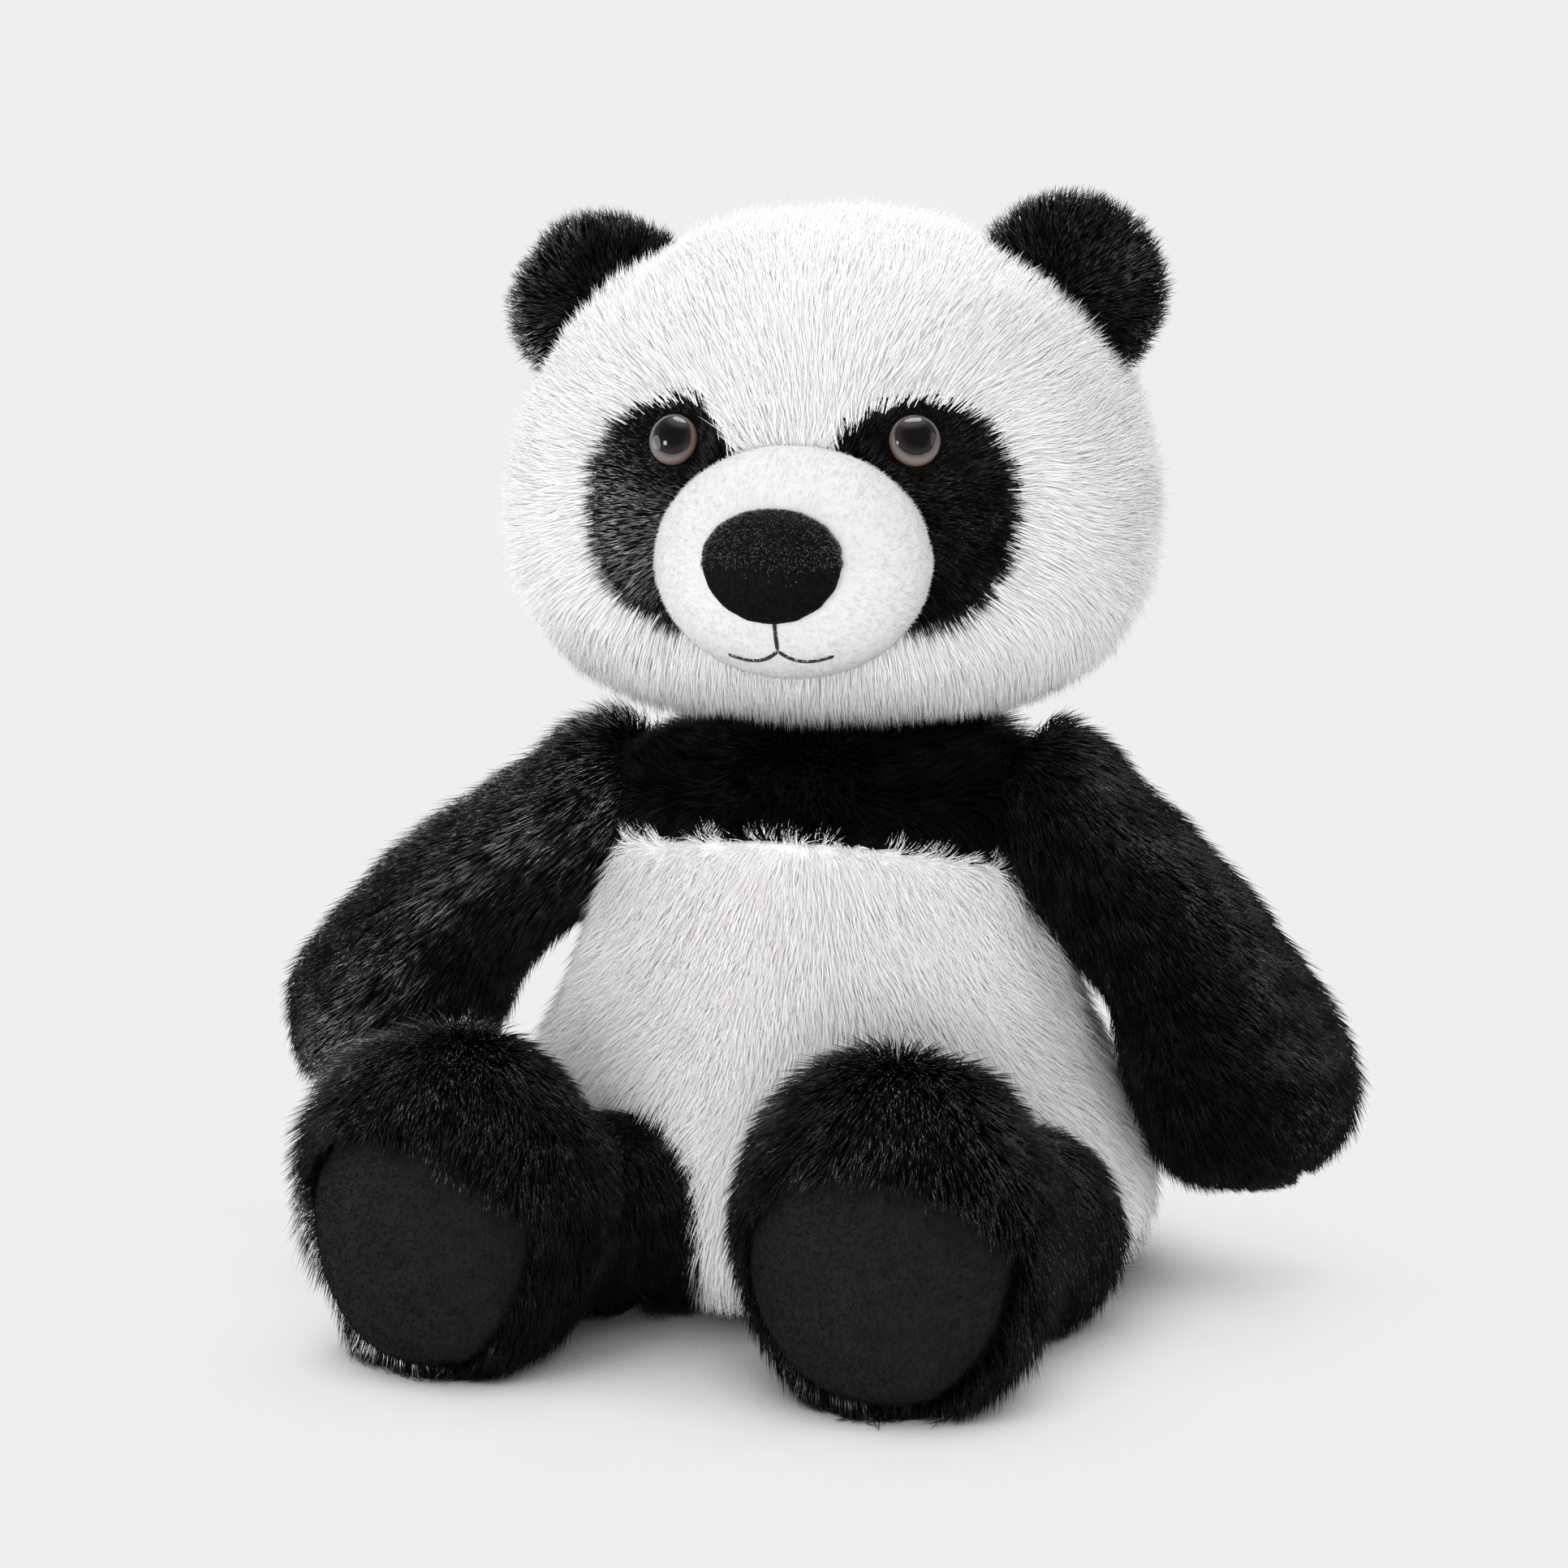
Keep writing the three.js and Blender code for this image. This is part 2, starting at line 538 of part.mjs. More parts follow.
function head() {
  const neckRoom = solid(ball(NECK_SOCKET, NECK_IN_HEAD));
  const shell = solid(headForm(0)).subtract(solid(headForm(SKIN))).subtract(neckRoom);
  const eyes = [1, -1].map(eyePocket);
  const nose = nosePocket();
  const stems = eyes[0].stem.add(eyes[1].stem).add(nose.stem);
  const wells = eyes[0].well.add(eyes[1].well);
  const holes = solid(eyePatchPrism(1, SEAM_GAP)).add(solid(eyePatchPrism(-1, SEAM_GAP)));
  const face = shell.subtract(stems);
  const patch = (side) => face.intersect(solid(eyePatchPrism(side, 0))).intersect(FRONT());
  const snout = solid(muzzleForm(0)).subtract(solid(headForm(-REST_GAP)));
  const snoutFill = solid(muzzleForm(SHORT_PILE + FILL_GAP)).subtract(solid(headForm(-REST_GAP)));
  const fill = solid(headForm(SKIN + FILL_GAP)).subtract(neckRoom);
  const front = muzzleFront(0, NOSE.z);
  const noseWasher = washerRing(NOSE.shank, NOSE_WASHER).rotateX(-Math.PI / 2).translate(0, front, NOSE.z);
  const group = new THREE.Group();
  group.rotation.z = HEAD_YAW;
  group.position.x = HEAD_SHIFT;
  group.add(
    piece('head_front_skin', face.subtract(holes).intersect(FRONT()), WHITE_FUR),
    piece('head_back_skin', face.intersect(BACK()), WHITE_FUR),
    piece('eye_patch_left', patch(1), BLACK_FUR),
    piece('eye_patch_right', patch(-1), BLACK_FUR),
    piece('head_stuffing', fill.subtract(stems).subtract(wells), FIBRE),
    piece('muzzle_skin', snout.subtract(solid(muzzleForm(SHORT_PILE))).subtract(nose.stem), MUZZLE_PILE),
    piece('muzzle_stuffing', snoutFill.subtract(nose.stem).subtract(nose.well), FIBRE),
    piece('nose', noseForm(), FLOCKING),
    piece('nose_washer', solid(noseWasher), WASHER_PLASTIC),
    piece('mouth_thread', mouthForm(), BLACK_THREAD),
    eye(1, 'eye_left'),
    eye(-1, 'eye_right'),
    ear(EAR_LEFT, 'ear_left'),
    ear(EAR_RIGHT, 'ear_right'),
  );
  return group;
}

// ---- arms and legs ----
// The opening at a limb's root, where it is sewn to the body round its filling.
function rootOpening(filling, mouth) {
  const hollow = solid(ball(filling + SWING_GAP, new THREE.Vector3(), 14));
  return hollow.add(solid(rod(mouth, -BIG / 4, 0)));
}

function arm(at, name) {
  const opening = rootOpening(ARM.filling, ARM.mouth);
  const shell = solid(armForm(0)).subtract(solid(armForm(SKIN))).subtract(opening);
  const fill = solid(armForm(SKIN + FILL_GAP)).subtract(opening);
  const group = new THREE.Group();
  group.applyMatrix4(at);
  group.add(
    piece(`arm_${name}_outer`, shell.intersect(FRONT()), BLACK_FUR),
    piece(`arm_${name}_inner`, shell.intersect(BACK()), BLACK_FUR),
    piece(`arm_${name}_stuffing`, fill, FIBRE),
    piece(`shoulder_${name}_filling`, solid(ball(ARM.filling, new THREE.Vector3(), 14)), FIBRE),
  );
  return group;
}

function leg(at, name, outward) {
  const opening = rootOpening(LEG.filling, LEG.mouth);
  const shell = legForm(0, at).subtract(legForm(SKIN, at)).subtract(opening);
  const solePrism = (growth) =>
    solid(
      ovalPrism(SOLE.x, 0, SOLE.halfWidth + growth, SOLE.halfHeight + growth, 0, BIG / 2)
        .rotateX(Math.PI / 2)
        .translate(0, -SOLE.drop, LEG.footAt),
    );
  const upper = shell.subtract(solePrism(SEAM_GAP));
  const group = new THREE.Group();
  group.applyMatrix4(at);
  group.add(
    piece(`leg_${name}_outer`, upper.intersect(half(0, outward)), BLACK_FUR),
    piece(`leg_${name}_inner`, upper.intersect(half(0, -outward)), BLACK_FUR),
    piece(`leg_${name}_sole`, shell.intersect(solePrism(0)), SOLE_PILE),
    piece(`leg_${name}_stuffing`, legForm(SKIN + FILL_GAP, at).subtract(opening), FIBRE),
    piece(`hip_${name}_filling`, solid(ball(LEG.filling, new THREE.Vector3(), 14)), FIBRE),
  );
  return group;
}

const panda = new THREE.Group();
panda.name = 'plush_panda';
panda.add(
  body(),
  neck(),
  head(),
  arm(ARM_LEFT_AT, 'left'),
  arm(ARM_RIGHT_AT, 'right'),
  leg(LEG_LEFT_AT, 'left', 1),
  leg(LEG_RIGHT_AT, 'right', -1),
);

export default panda;
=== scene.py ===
"""Looks of a sitting plush panda: stuffed cloth covers, combed fur of real strands, a velour muzzle
and soles, a flocked nose, safety eyes and an embroidered mouth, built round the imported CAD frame.
Lengths are metres. The panda faces -Y, its own left is +X, and it sits on z = 0."""

import json
import math

import bmesh
import bpy
import numpy as np
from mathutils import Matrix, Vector
from mathutils.bvhtree import BVHTree
from mathutils.kdtree import KDTree

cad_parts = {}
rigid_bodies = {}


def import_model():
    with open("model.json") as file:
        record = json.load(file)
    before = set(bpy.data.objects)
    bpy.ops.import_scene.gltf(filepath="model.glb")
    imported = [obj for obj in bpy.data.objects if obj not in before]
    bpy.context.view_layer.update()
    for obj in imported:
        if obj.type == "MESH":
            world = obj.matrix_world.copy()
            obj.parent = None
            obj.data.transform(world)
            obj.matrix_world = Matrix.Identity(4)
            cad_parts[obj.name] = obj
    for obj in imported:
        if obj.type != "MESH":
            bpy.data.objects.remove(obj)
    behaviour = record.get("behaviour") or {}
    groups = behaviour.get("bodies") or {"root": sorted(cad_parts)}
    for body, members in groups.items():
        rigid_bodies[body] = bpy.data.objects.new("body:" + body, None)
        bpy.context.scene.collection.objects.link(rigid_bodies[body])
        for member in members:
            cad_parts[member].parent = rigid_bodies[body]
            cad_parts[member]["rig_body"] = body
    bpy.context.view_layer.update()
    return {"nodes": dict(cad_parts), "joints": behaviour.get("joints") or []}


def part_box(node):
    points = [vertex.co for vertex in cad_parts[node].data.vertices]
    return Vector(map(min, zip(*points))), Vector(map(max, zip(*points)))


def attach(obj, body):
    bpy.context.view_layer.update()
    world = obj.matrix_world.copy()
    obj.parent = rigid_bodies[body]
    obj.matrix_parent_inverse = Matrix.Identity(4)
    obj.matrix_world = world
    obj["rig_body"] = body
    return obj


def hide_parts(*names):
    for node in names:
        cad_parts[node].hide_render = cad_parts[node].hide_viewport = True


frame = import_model()

scene = bpy.context.scene
MM = 0.001
SEED = 7
SIDES = ("left", "right")

# ---- cloth covers ----
# cell of the remeshed cover in mm, passes that melt its CAD facets, how far the tips of a lock of
# its fur draw together, and how much the fur under it hangs down
FORMS = {
    "torso": (4.0, 50, 0.13, 0.0), "head": (4.0, 60, 0.07, 0.9), "muzzle": (2.4, 60, 0.24, 0.0),
    "ear": (2.2, 14, 0.24, 0.0), "arm": (4.0, 20, 0.24, 0.5), "leg": (4.0, 20, 0.24, 0.9),
}
GROW = 0.35 * MM  # closes the seam gaps before the remesh
PRESSURE = 4.0
CLOTH_MASS, CLOTH_QUALITY = 0.3, 5
FRAMES = 20
PUFF_CAP = 2.0 * MM  # how far the stuffing may swell a cover
FLOOR_GAP = 0.4 * MM  # nothing goes below this height
CLOTH_THICK = 1.6 * MM
SEAM_PULL = 1.4 * MM  # depth of a sewn seam
SEAM_REACH = 5.0 * MM
WELD = 0.01 * MM  # CAD vertices this close are one

# A cover is the cloth round one stuffed body: its panels, and what fills it.
COVERS = {
    "torso": (["chest_yoke_front", "back_yoke", "belly_panel", "back_panel", "seat_panel"],
              ["body_stuffing", "pellet_bag"]),
    "head": (["head_front_skin", "head_back_skin", "eye_patch_left", "eye_patch_right"],
             ["head_stuffing"]),
    "muzzle": (["muzzle_skin"], ["muzzle_stuffing"]),
}
for side in SIDES:
    COVERS[f"ear_{side}"] = ([f"ear_{side}_front", f"ear_{side}_back"], [])
    COVERS[f"arm_{side}"] = ([f"arm_{side}_outer", f"arm_{side}_inner"], [f"arm_{side}_stuffing"])
    COVERS[f"leg_{side}"] = (
        [f"leg_{side}_outer", f"leg_{side}_inner", f"leg_{side}_sole"], [f"leg_{side}_stuffing"])


def body_of_node(node):
    return frame["nodes"][node]["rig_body"]


def read(items, field, width, kind=np.int32):
    """One field of every item, as rows of numbers."""
    flat = np.empty(len(items) * width, kind)
    items.foreach_get(field, flat)
    return flat.reshape(-1, width)


def coords(mesh):
    return read(mesh.vertices, "co", 3, np.float32).astype(float)


def normals(mesh):
    return read(mesh.vertex_normals, "vector", 3, np.float32).astype(float)


def triangles(mesh):
    mesh.calc_loop_triangles()
    return read(mesh.loop_triangles, "vertices", 3)


def set_coords(mesh, points):
    mesh.vertices.foreach_set("co", np.ascontiguousarray(points, np.float32).ravel())
    mesh.update()


def unit(v):
    return v / np.maximum(np.linalg.norm(v, axis=-1, keepdims=True), 1e-12)


def link(name, mesh):
    obj = bpy.data.objects.new(name, mesh)
    scene.collection.objects.link(obj)
    return obj


def bake_modifiers(obj):
    """Applies the modifiers of an object to its mesh."""
    graph = bpy.context.evaluated_depsgraph_get()
    mesh = bpy.data.meshes.new_from_object(obj.evaluated_get(graph))
    old = obj.data
    obj.modifiers.clear()
    obj.data = mesh
    bpy.data.meshes.remove(old)


def welded(mesh):
    """(points, triangles) of a CAD mesh with its split vertices joined."""
    points, tris = coords(mesh), triangles(mesh)
    keys = np.round(points / WELD).astype(np.int64)
    _, first, where = np.unique(keys, axis=0, return_index=True, return_inverse=True)
    return points[first], where.reshape(-1)[tris]


def new_mesh(name, verts, faces):
    mesh = bpy.data.meshes.new(name)
    mesh.from_pydata(np.asarray(verts).tolist(), [], faces)
    mesh.update()
    return mesh


def grown_mesh(nodes):
    """One mesh of several CAD nodes, each swollen a little so that neighbours join."""
    mesh = bpy.data.meshes.new("cover")
    bm = bmesh.new()
    for node in nodes:
        points, tris = welded(frame["nodes"][node].data)
        part = new_mesh("part", points, tris.tolist())
        set_coords(part, points + normals(part) * GROW)
        bm.from_mesh(part)
        bpy.data.meshes.remove(part)
    bm.to_mesh(mesh)
    bm.free()
    return mesh


def keep_largest(obj):
    """Drops every island but the outer one."""
    bm = bmesh.new()
    bm.from_mesh(obj.data)
    left, keep = set(bm.verts), set()
    while left:
        island, edge = set(), {left.pop()}
        while edge:
            island |= edge
            edge = {e.other_vert(v) for v in edge for e in v.link_edges} & left
            left -= edge
        keep = max(keep, island, key=len)
    bmesh.ops.delete(bm, geom=[v for v in bm.verts if v not in keep], context="VERTS")
    bm.to_mesh(obj.data)
    bm.free()


def remeshed(name, nodes, cell):
    """CAD nodes as one closed form with even faces."""
    obj = link(name, grown_mesh(nodes))
    cells = obj.modifiers.new("cells", "REMESH")
    cells.mode = "VOXEL"
    cells.voxel_size = cell
    bake_modifiers(obj)
    return obj


def smoothed(obj, passes):
    smooth = obj.modifiers.new("smooth", "SMOOTH")
    smooth.iterations = passes
    bake_modifiers(obj)
    return obj


def above_floor(points):
    points[:, 2] = np.maximum(points[:, 2], FLOOR_GAP)
    return points


def melt(obj, passes):
    """Smooths a form and gives back the thickness that smoothing takes."""
    before = coords(obj.data)
    smoothed(obj, passes)
    after, out = coords(obj.data), normals(obj.data)
    lost = np.median(((before - after) * out).sum(1))
    set_coords(obj.data, above_floor(after + out * lost))


def make_cover(name):
    panels, filling = COVERS[name]
    cell, passes, _, _ = FORMS[name.split("_")[0]]
    obj = remeshed(f"cover_{name}", panels + filling, cell * MM)
    keep_largest(obj)
    melt(obj, passes)
    return obj


def swell(covers):
    """Inflates every cover at once as pressurised cloth, and keeps the movement small."""
    rest = {o: coords(o.data) for o in covers}
    for obj in covers:
        cloth = obj.modifiers.new("stuffing", "CLOTH")
        cloth.settings.quality = CLOTH_QUALITY
        cloth.settings.mass = CLOTH_MASS
        cloth.settings.use_pressure = True
        cloth.settings.uniform_pressure_force = PRESSURE
        cloth.settings.effector_weights.gravity = 0
        cloth.point_cache.frame_end = FRAMES
    for number in range(1, FRAMES + 1):
        scene.frame_set(number)
    for obj in covers:
        bake_modifiers(obj)
        moved = coords(obj.data) - rest[obj]
        far = np.linalg.norm(moved, axis=1, keepdims=True)
        moved *= np.minimum(1, PUFF_CAP / np.maximum(far, 1e-9))
        set_coords(obj.data, above_floor(rest[obj] + moved))


def finer(obj):
    subdivide = obj.modifiers.new("finer", "SUBSURF")
    subdivide.levels = subdivide.render_levels = 1
    bake_modifiers(obj)


covers = {name: make_cover(name) for name in COVERS}
swell([covers[n] for n in covers if not n.startswith("ear")])
for cover in covers.values():
    finer(cover)


# ---- the face frame: x to the panda's left, y to its back ----
def centre_of(node):
    return welded(frame["nodes"][node].data)[0].mean(0)


EYE_L, EYE_R = centre_of("eye_left_backing"), centre_of("eye_right_backing")
FACE_X = unit((EYE_L - EYE_R) * np.array((1, 1, 0)))
FACE_BACK = np.cross((0, 0, 1), FACE_X)
FACE_UP = np.array((0, 0, 1.0))
NOSE_AT = centre_of("nose")


# ---- labels: which CAD panel every part of a cover belongs to ----
def tree_of(points, tris):
    return BVHTree.FromPolygons(points.tolist(), tris.tolist())


def nearest_panel(cover, panels):
    """For each vertex the index of the closest panel."""
    points = coords(cover.data)
    far = np.empty((len(panels), len(points)))
    for row, panel in enumerate(panels):
        tree = tree_of(*welded(frame["nodes"][panel].data))
        far[row] = [tree.find_nearest(p)[3] for p in points]
    return far.argmin(0)


def vertex_labels_to_faces(mesh, labels):
    """A quad takes the label most of its corners have."""
    corners = read(mesh.loops, "vertex_index", 1).ravel()
    starts = read(mesh.polygons, "loop_start", 1).ravel()
    counts = np.diff(np.append(starts, len(corners)))
    votes = np.zeros((len(starts), labels.max() + 1), int)
    face = np.repeat(np.arange(len(starts)), counts)
    np.add.at(votes, (face, labels[corners]), 1)
    return votes.argmax(1)


def kd_tree(points):
    tree = KDTree(len(points))
    for i, p in enumerate(points):
        tree.insert(p, i)
    tree.balance()
    return tree


def sink_seams(cover, labels):
    """Pulls the cover in along the lines where two panels are sewn together."""
    mesh = cover.data
    edges = read(mesh.edges, "vertices", 2)
    cut = edges[labels[edges[:, 0]] != labels[edges[:, 1]]]
    points = coords(mesh)
    seam = points[cut].mean(1)
    tree = kd_tree(seam)
    far = np.array([tree.find(p)[2] for p in points])
    share = np.clip(1 - far / SEAM_REACH, 0, 1) ** 2
    set_coords(mesh, points - normals(mesh) * (share * SEAM_PULL)[:, None])


def split_panel(cover, face_labels, which, name):
    """One panel of a cover as a sewn piece of cloth with a thickness."""
    bm = bmesh.new()
    bm.from_mesh(cover.data)
    bm.faces.ensure_lookup_table()
    drop = [bm.faces[i] for i in np.flatnonzero(face_labels != which)]
    bmesh.ops.delete(bm, geom=drop, context="FACES")
    mesh = bpy.data.meshes.new(name)
    bm.to_mesh(mesh)
    bm.free()
    obj = link(name, mesh)
    thick = obj.modifiers.new("cloth", "SOLIDIFY")
    thick.thickness = CLOTH_THICK
    thick.offset = -1
    bake_modifiers(obj)
    obj.data.shade_smooth()
    return obj


def settle(obj, body, slot, material, *nodes):
    """Puts a finished piece on its body, with its material and the CAD nodes it stands for."""
    for one in material if isinstance(material, list) else [material]:
        obj.data.materials.append(one)
    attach(obj, body)
    if nodes:
        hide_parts(*nodes)
    return obj


NOISE_WAVES = 6


def smooth_noise(points, scale, seed):
    """A soft field from about -1 to 1 that changes over about `scale` metres."""
    rng = np.random.default_rng(seed)
    total = np.zeros(len(points))
    for _ in range(NOISE_WAVES):
        direction = unit(rng.normal(size=3)) / scale * rng.uniform(0.6, 1.6)
        total += np.sin(points @ direction * math.pi + rng.uniform(0, math.tau))
    return total / NOISE_WAVES * 1.6


LUMP_SIZE, LUMP_DEPTH = 9 * MM, 0.3 * MM  # of the stuffing
SLACK = 0.2 * MM  # how far the stuffing stays inside its cloth
STUFFING_SMOOTHING = 6


def softened(node, name, cell=2.0 * MM):
    """A CAD soft solid as a rounded, lumpy form."""
    obj = smoothed(remeshed(name, [node], cell), STUFFING_SMOOTHING)
    points = coords(obj.data)
    lump = smooth_noise(points, LUMP_SIZE, SEED) * LUMP_DEPTH
    set_coords(obj.data, points + normals(obj.data) * (lump - SLACK)[:, None])
    obj.data.shade_smooth()
    return obj


# ---- materials ----
def principled(material, socket):
    return material.node_tree.nodes["Principled BSDF"].inputs[socket]


def new_material(name, colour, roughness, *grained, **extra):
    """A Principled material; grained is its bump, and extra inputs are named by their sockets
    with _ for spaces."""
    material = bpy.data.materials.new(name)
    material.use_nodes = True
    principled(material, "Base Color").default_value = (*colour, 1)
    principled(material, "Roughness").default_value = roughness
    for key, value in extra.items():
        principled(material, key.replace("_", " ")).default_value = value
    if grained:
        grain(material, *grained)
    return material


def add_node(owner, kind, **settings):
    """A node of a material or world; settings name its sockets or its own properties."""
    node = owner.node_tree.nodes.new(kind)
    for key, value in settings.items():
        if key in node.inputs:
            node.inputs[key].default_value = value
        else:
            setattr(node, key, value)
    return node


def wire(owner, output, target):
    owner.node_tree.links.new(output, target)


def noise_node(material, scale, detail=3.0):
    where = add_node(material, "ShaderNodeTexCoord")
    noise = add_node(material, "ShaderNodeTexNoise", Scale=scale, Detail=detail)
    wire(material, where.outputs["Object"], noise.inputs["Vector"])
    return noise.outputs["Fac"]


def ramp_of(material, source, stops):
    """Colours along a value, as (position, colour) stops."""
    ramp = add_node(material, "ShaderNodeValToRGB")
    while len(ramp.color_ramp.elements) < len(stops):
        ramp.color_ramp.elements.new(0.5)
    for element, (position, colour) in zip(ramp.color_ramp.elements, stops):
        element.position = position
        element.color = (*colour, 1)
    wire(material, source, ramp.inputs["Fac"])
    return ramp.outputs["Color"]


def map_range(owner, source, span, result, **settings):
    """A value in span, spread over result."""
    node = add_node(owner, "ShaderNodeMapRange", **settings)
    for socket, value in zip(("From Min", "From Max", "To Min", "To Max"), (*span, *result)):
        node.inputs[socket].default_value = value
    wire(owner, source, node.inputs["Value"])
    return node.outputs["Result"]


def mottle(material, dark, light, scale):
    """Colour that wanders between two tones."""
    tones = ramp_of(material, noise_node(material, scale), ((0.35, dark), (0.65, light)))
    wire(material, tones, principled(material, "Base Color"))


def grain(material, scale, depth, strength=0.6):
    """Bump from a fine noise; depth in metres."""
    bump = add_node(material, "ShaderNodeBump", Strength=strength, Distance=depth)
    wire(material, noise_node(material, scale, 4.0), bump.inputs["Height"])
    wire(material, bump.outputs["Normal"], principled(material, "Normal"))


SHEEN_SCALE, SHEEN_SPAN = 110.0, (0.38, 0.66)  # the noise of the gloss, and the part of it that is used


def fur_set(name, tones, roughness, *gloss):
    """The same fur in a few tones, one picked for each strand. Its gloss wanders, so that
    locks catch the light unevenly."""
    made = []
    for number, tone in enumerate(tones, 1):
        material = new_material(f"{name}_{number}", tone, roughness)
        sheen = map_range(material, noise_node(material, SHEEN_SCALE, 2.0), SHEEN_SPAN, gloss)
        wire(material, sheen, principled(material, "Specular IOR Level"))
        made.append(material)
    return made


def cloth_material(name, roughness, dark, light, scale, *grained, **extra):
    """A material whose colour wanders between two tones."""
    material = new_material(name, light, roughness, *grained, **extra)
    mottle(material, dark, light, scale)
    return material


WHITE_FUR = fur_set(
    "white_plush", [(0.81, 0.798, 0.785), (0.85, 0.842, 0.832), (0.74, 0.727, 0.713)], 0.6, 0.05, 0.2)
BLACK_FUR = fur_set(
    "black_plush", [(0.003, 0.003, 0.0032), (0.006, 0.006, 0.0065), (0.0015, 0.0015, 0.0015)],
    0.32, 0.25, 1.0)
# a darker, duller copy of the black pile for the front of the yoke: painted shade under the chin
CHEST_PILE_PAINTED_SHADE = fur_set(
    "black_yoke_painted_shade", [(0.002, 0.002, 0.0021), (0.004, 0.004, 0.0042), (0.001, 0.001, 0.001)], 0.5, 0.0, 0.25)

VELOUR = fur_set(
    "muzzle_nap", [(0.6, 0.595, 0.59), (0.67, 0.665, 0.66), (0.52, 0.515, 0.51)], 0.7, 0.1, 0.2)
SOLE_NAP = fur_set(
    "sole_nap", [(0.008, 0.008, 0.0083), (0.01, 0.01, 0.0103), (0.006, 0.006, 0.0063)], 0.6, 0.02, 0.1)
# tones of the pile on top of the nose, far lighter than its flock cloth: painted light on the top of the
# nose, along with the flock's own speckled grain
NOSE_PILE_PAINTED_TOP_LIGHT = fur_set(
    "nose_pile_painted_light", [(0.03, 0.03, 0.0305), (0.13, 0.127, 0.128), (0.005, 0.005, 0.005)], 0.5, 0.3, 0.9)

white_cloth = cloth_material(
    "white_pile_cloth", 0.9, (0.74, 0.73, 0.72), (0.82, 0.81, 0.8), 180.0, 900.0, 0.5 * MM)
black_cloth = cloth_material(
    "black_pile_cloth", 0.9, (0.002, 0.002, 0.002), (0.005, 0.005, 0.0055), 180.0, 900.0, 0.5 * MM,
    Specular_IOR_Level=0.1)
muzzle_velour = cloth_material(
    "muzzle_velour", 0.85, (0.555, 0.55, 0.545), (0.57, 0.565, 0.56), 60.0, 1400.0, 0.15 * MM, 0.4,
    Specular_IOR_Level=0.2, Sheen_Weight=0.1)
sole_velour = cloth_material(
    "sole_velour", 0.7, (0.007, 0.007, 0.0073), (0.009, 0.009, 0.0093), 160.0, 1500.0, 0.25 * MM, 0.5,
    Specular_IOR_Level=0.12, Sheen_Weight=0.01)
nose_flock = cloth_material(
    "nose_flock", 0.7, (0.002, 0.002, 0.002), (0.005, 0.005, 0.0052), 900.0, 1300.0, 0.5 * MM, 0.8,
    Specular_IOR_Level=0.1)
fibre = cloth_material(
    "fibre_filling", 0.95, (0.8, 0.8, 0.79), (0.93, 0.93, 0.92), 120.0, 500.0, 1.2 * MM)
bag_cloth = cloth_material(
    "bag_cloth", 0.9, (0.7, 0.69, 0.65), (0.8, 0.79, 0.75), 300.0, 1200.0, 0.3 * MM)
black_thread = new_material("black_thread", (0.02, 0.019, 0.019), 0.55, 2500.0, 0.2 * MM)
white_thread = new_material("white_thread", (0.85, 0.84, 0.82), 0.6, 2500.0, 0.2 * MM)
eye_plastic = new_material("eye_plastic", (0.015, 0.014, 0.014), 0.35, 1500.0, 0.05 * MM, 0.3)
washer_plastic = new_material("washer_plastic", (0.7, 0.7, 0.68), 0.45, 1200.0, 0.05 * MM, 0.3)

# length in mm, strands per mm2, lift in degrees, width in mm
HEAD_FUR = (12.0, 1.55, 27, 0.36)
PATCH_FUR = (8.5, 1.5, 30, 0.37)
BODY_FUR = (14.0, 1.3, 24, 0.38)
YOKE_FUR = (10.5, 1.25, 20, 0.42)
ARM_FUR = (13.0, 1.15, 30, 0.4)
LEG_FUR = (13.0, 1.2, 30, 0.4)
EAR_FUR = (8.5, 1.6, 38, 0.4)
SEAT_FUR = (7.0, 0.5, 12, 0.5)
MUZZLE_PILE = (1.5, 1.4, 24, 0.16)
SOLE_PILE = (1.2, 1.5, 30, 0.22)
FLOCK = (0.9, 4.0, 60, 0.26)

# by how a panel's name starts: the record's slot, its cloth, and the tones and size of its fur
WHITE = ("white_plush", white_cloth, WHITE_FUR)
BLACK = ("black_plush", black_cloth, BLACK_FUR)
SOLE = ("sole_plush", sole_velour, SOLE_NAP, SOLE_PILE)
LOOKS = {
    "head": (*WHITE, HEAD_FUR), "eye_patch": (*BLACK, PATCH_FUR),
    "chest_yoke": ("black_plush", black_cloth, CHEST_PILE_PAINTED_SHADE, YOKE_FUR), "back_yoke": (*BLACK, YOKE_FUR),
    "belly": (*WHITE, BODY_FUR), "back_panel": (*WHITE, BODY_FUR), "seat": (*WHITE, SEAT_FUR),
    "muzzle": ("muzzle_plush", muzzle_velour, VELOUR, MUZZLE_PILE),
    "ear": (*BLACK, EAR_FUR), "arm": (*BLACK, ARM_FUR),
    "leg_left_sole": SOLE, "leg_right_sole": SOLE, "leg": (*BLACK, LEG_FUR),
}


def look_of(panel):
    return next(look for start, look in LOOKS.items() if panel.startswith(start))


# ---- where the white pile ends ----
SEAM_RAISE = 4.5 * MM  # the pile swallows the colour seam, so the white ends this far over the CAD's line
SEAM_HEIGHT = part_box("belly_panel")[1].z + SEAM_RAISE
SEAM_DROP = (16 * MM, 9 * MM)  # how far the seam falls towards the left arm and the right one
TORSO_HALF = 75 * MM  # half the width of the torso at the colour seam
BRIDGE = 10 * MM  # on its right side the white bridge of the nose is this wide at its foot
BRIDGE_FOOT, BRIDGE_SPREAD = 252 * MM, 0.63


def above_seam(points):
    """Height over the seam between the belly and the yoke."""
    drop = np.where(points[:, 0] > 0, *SEAM_DROP)
    return points[:, 2] - SEAM_HEIGHT + (points[:, 0] / TORSO_HALF) ** 2 * drop


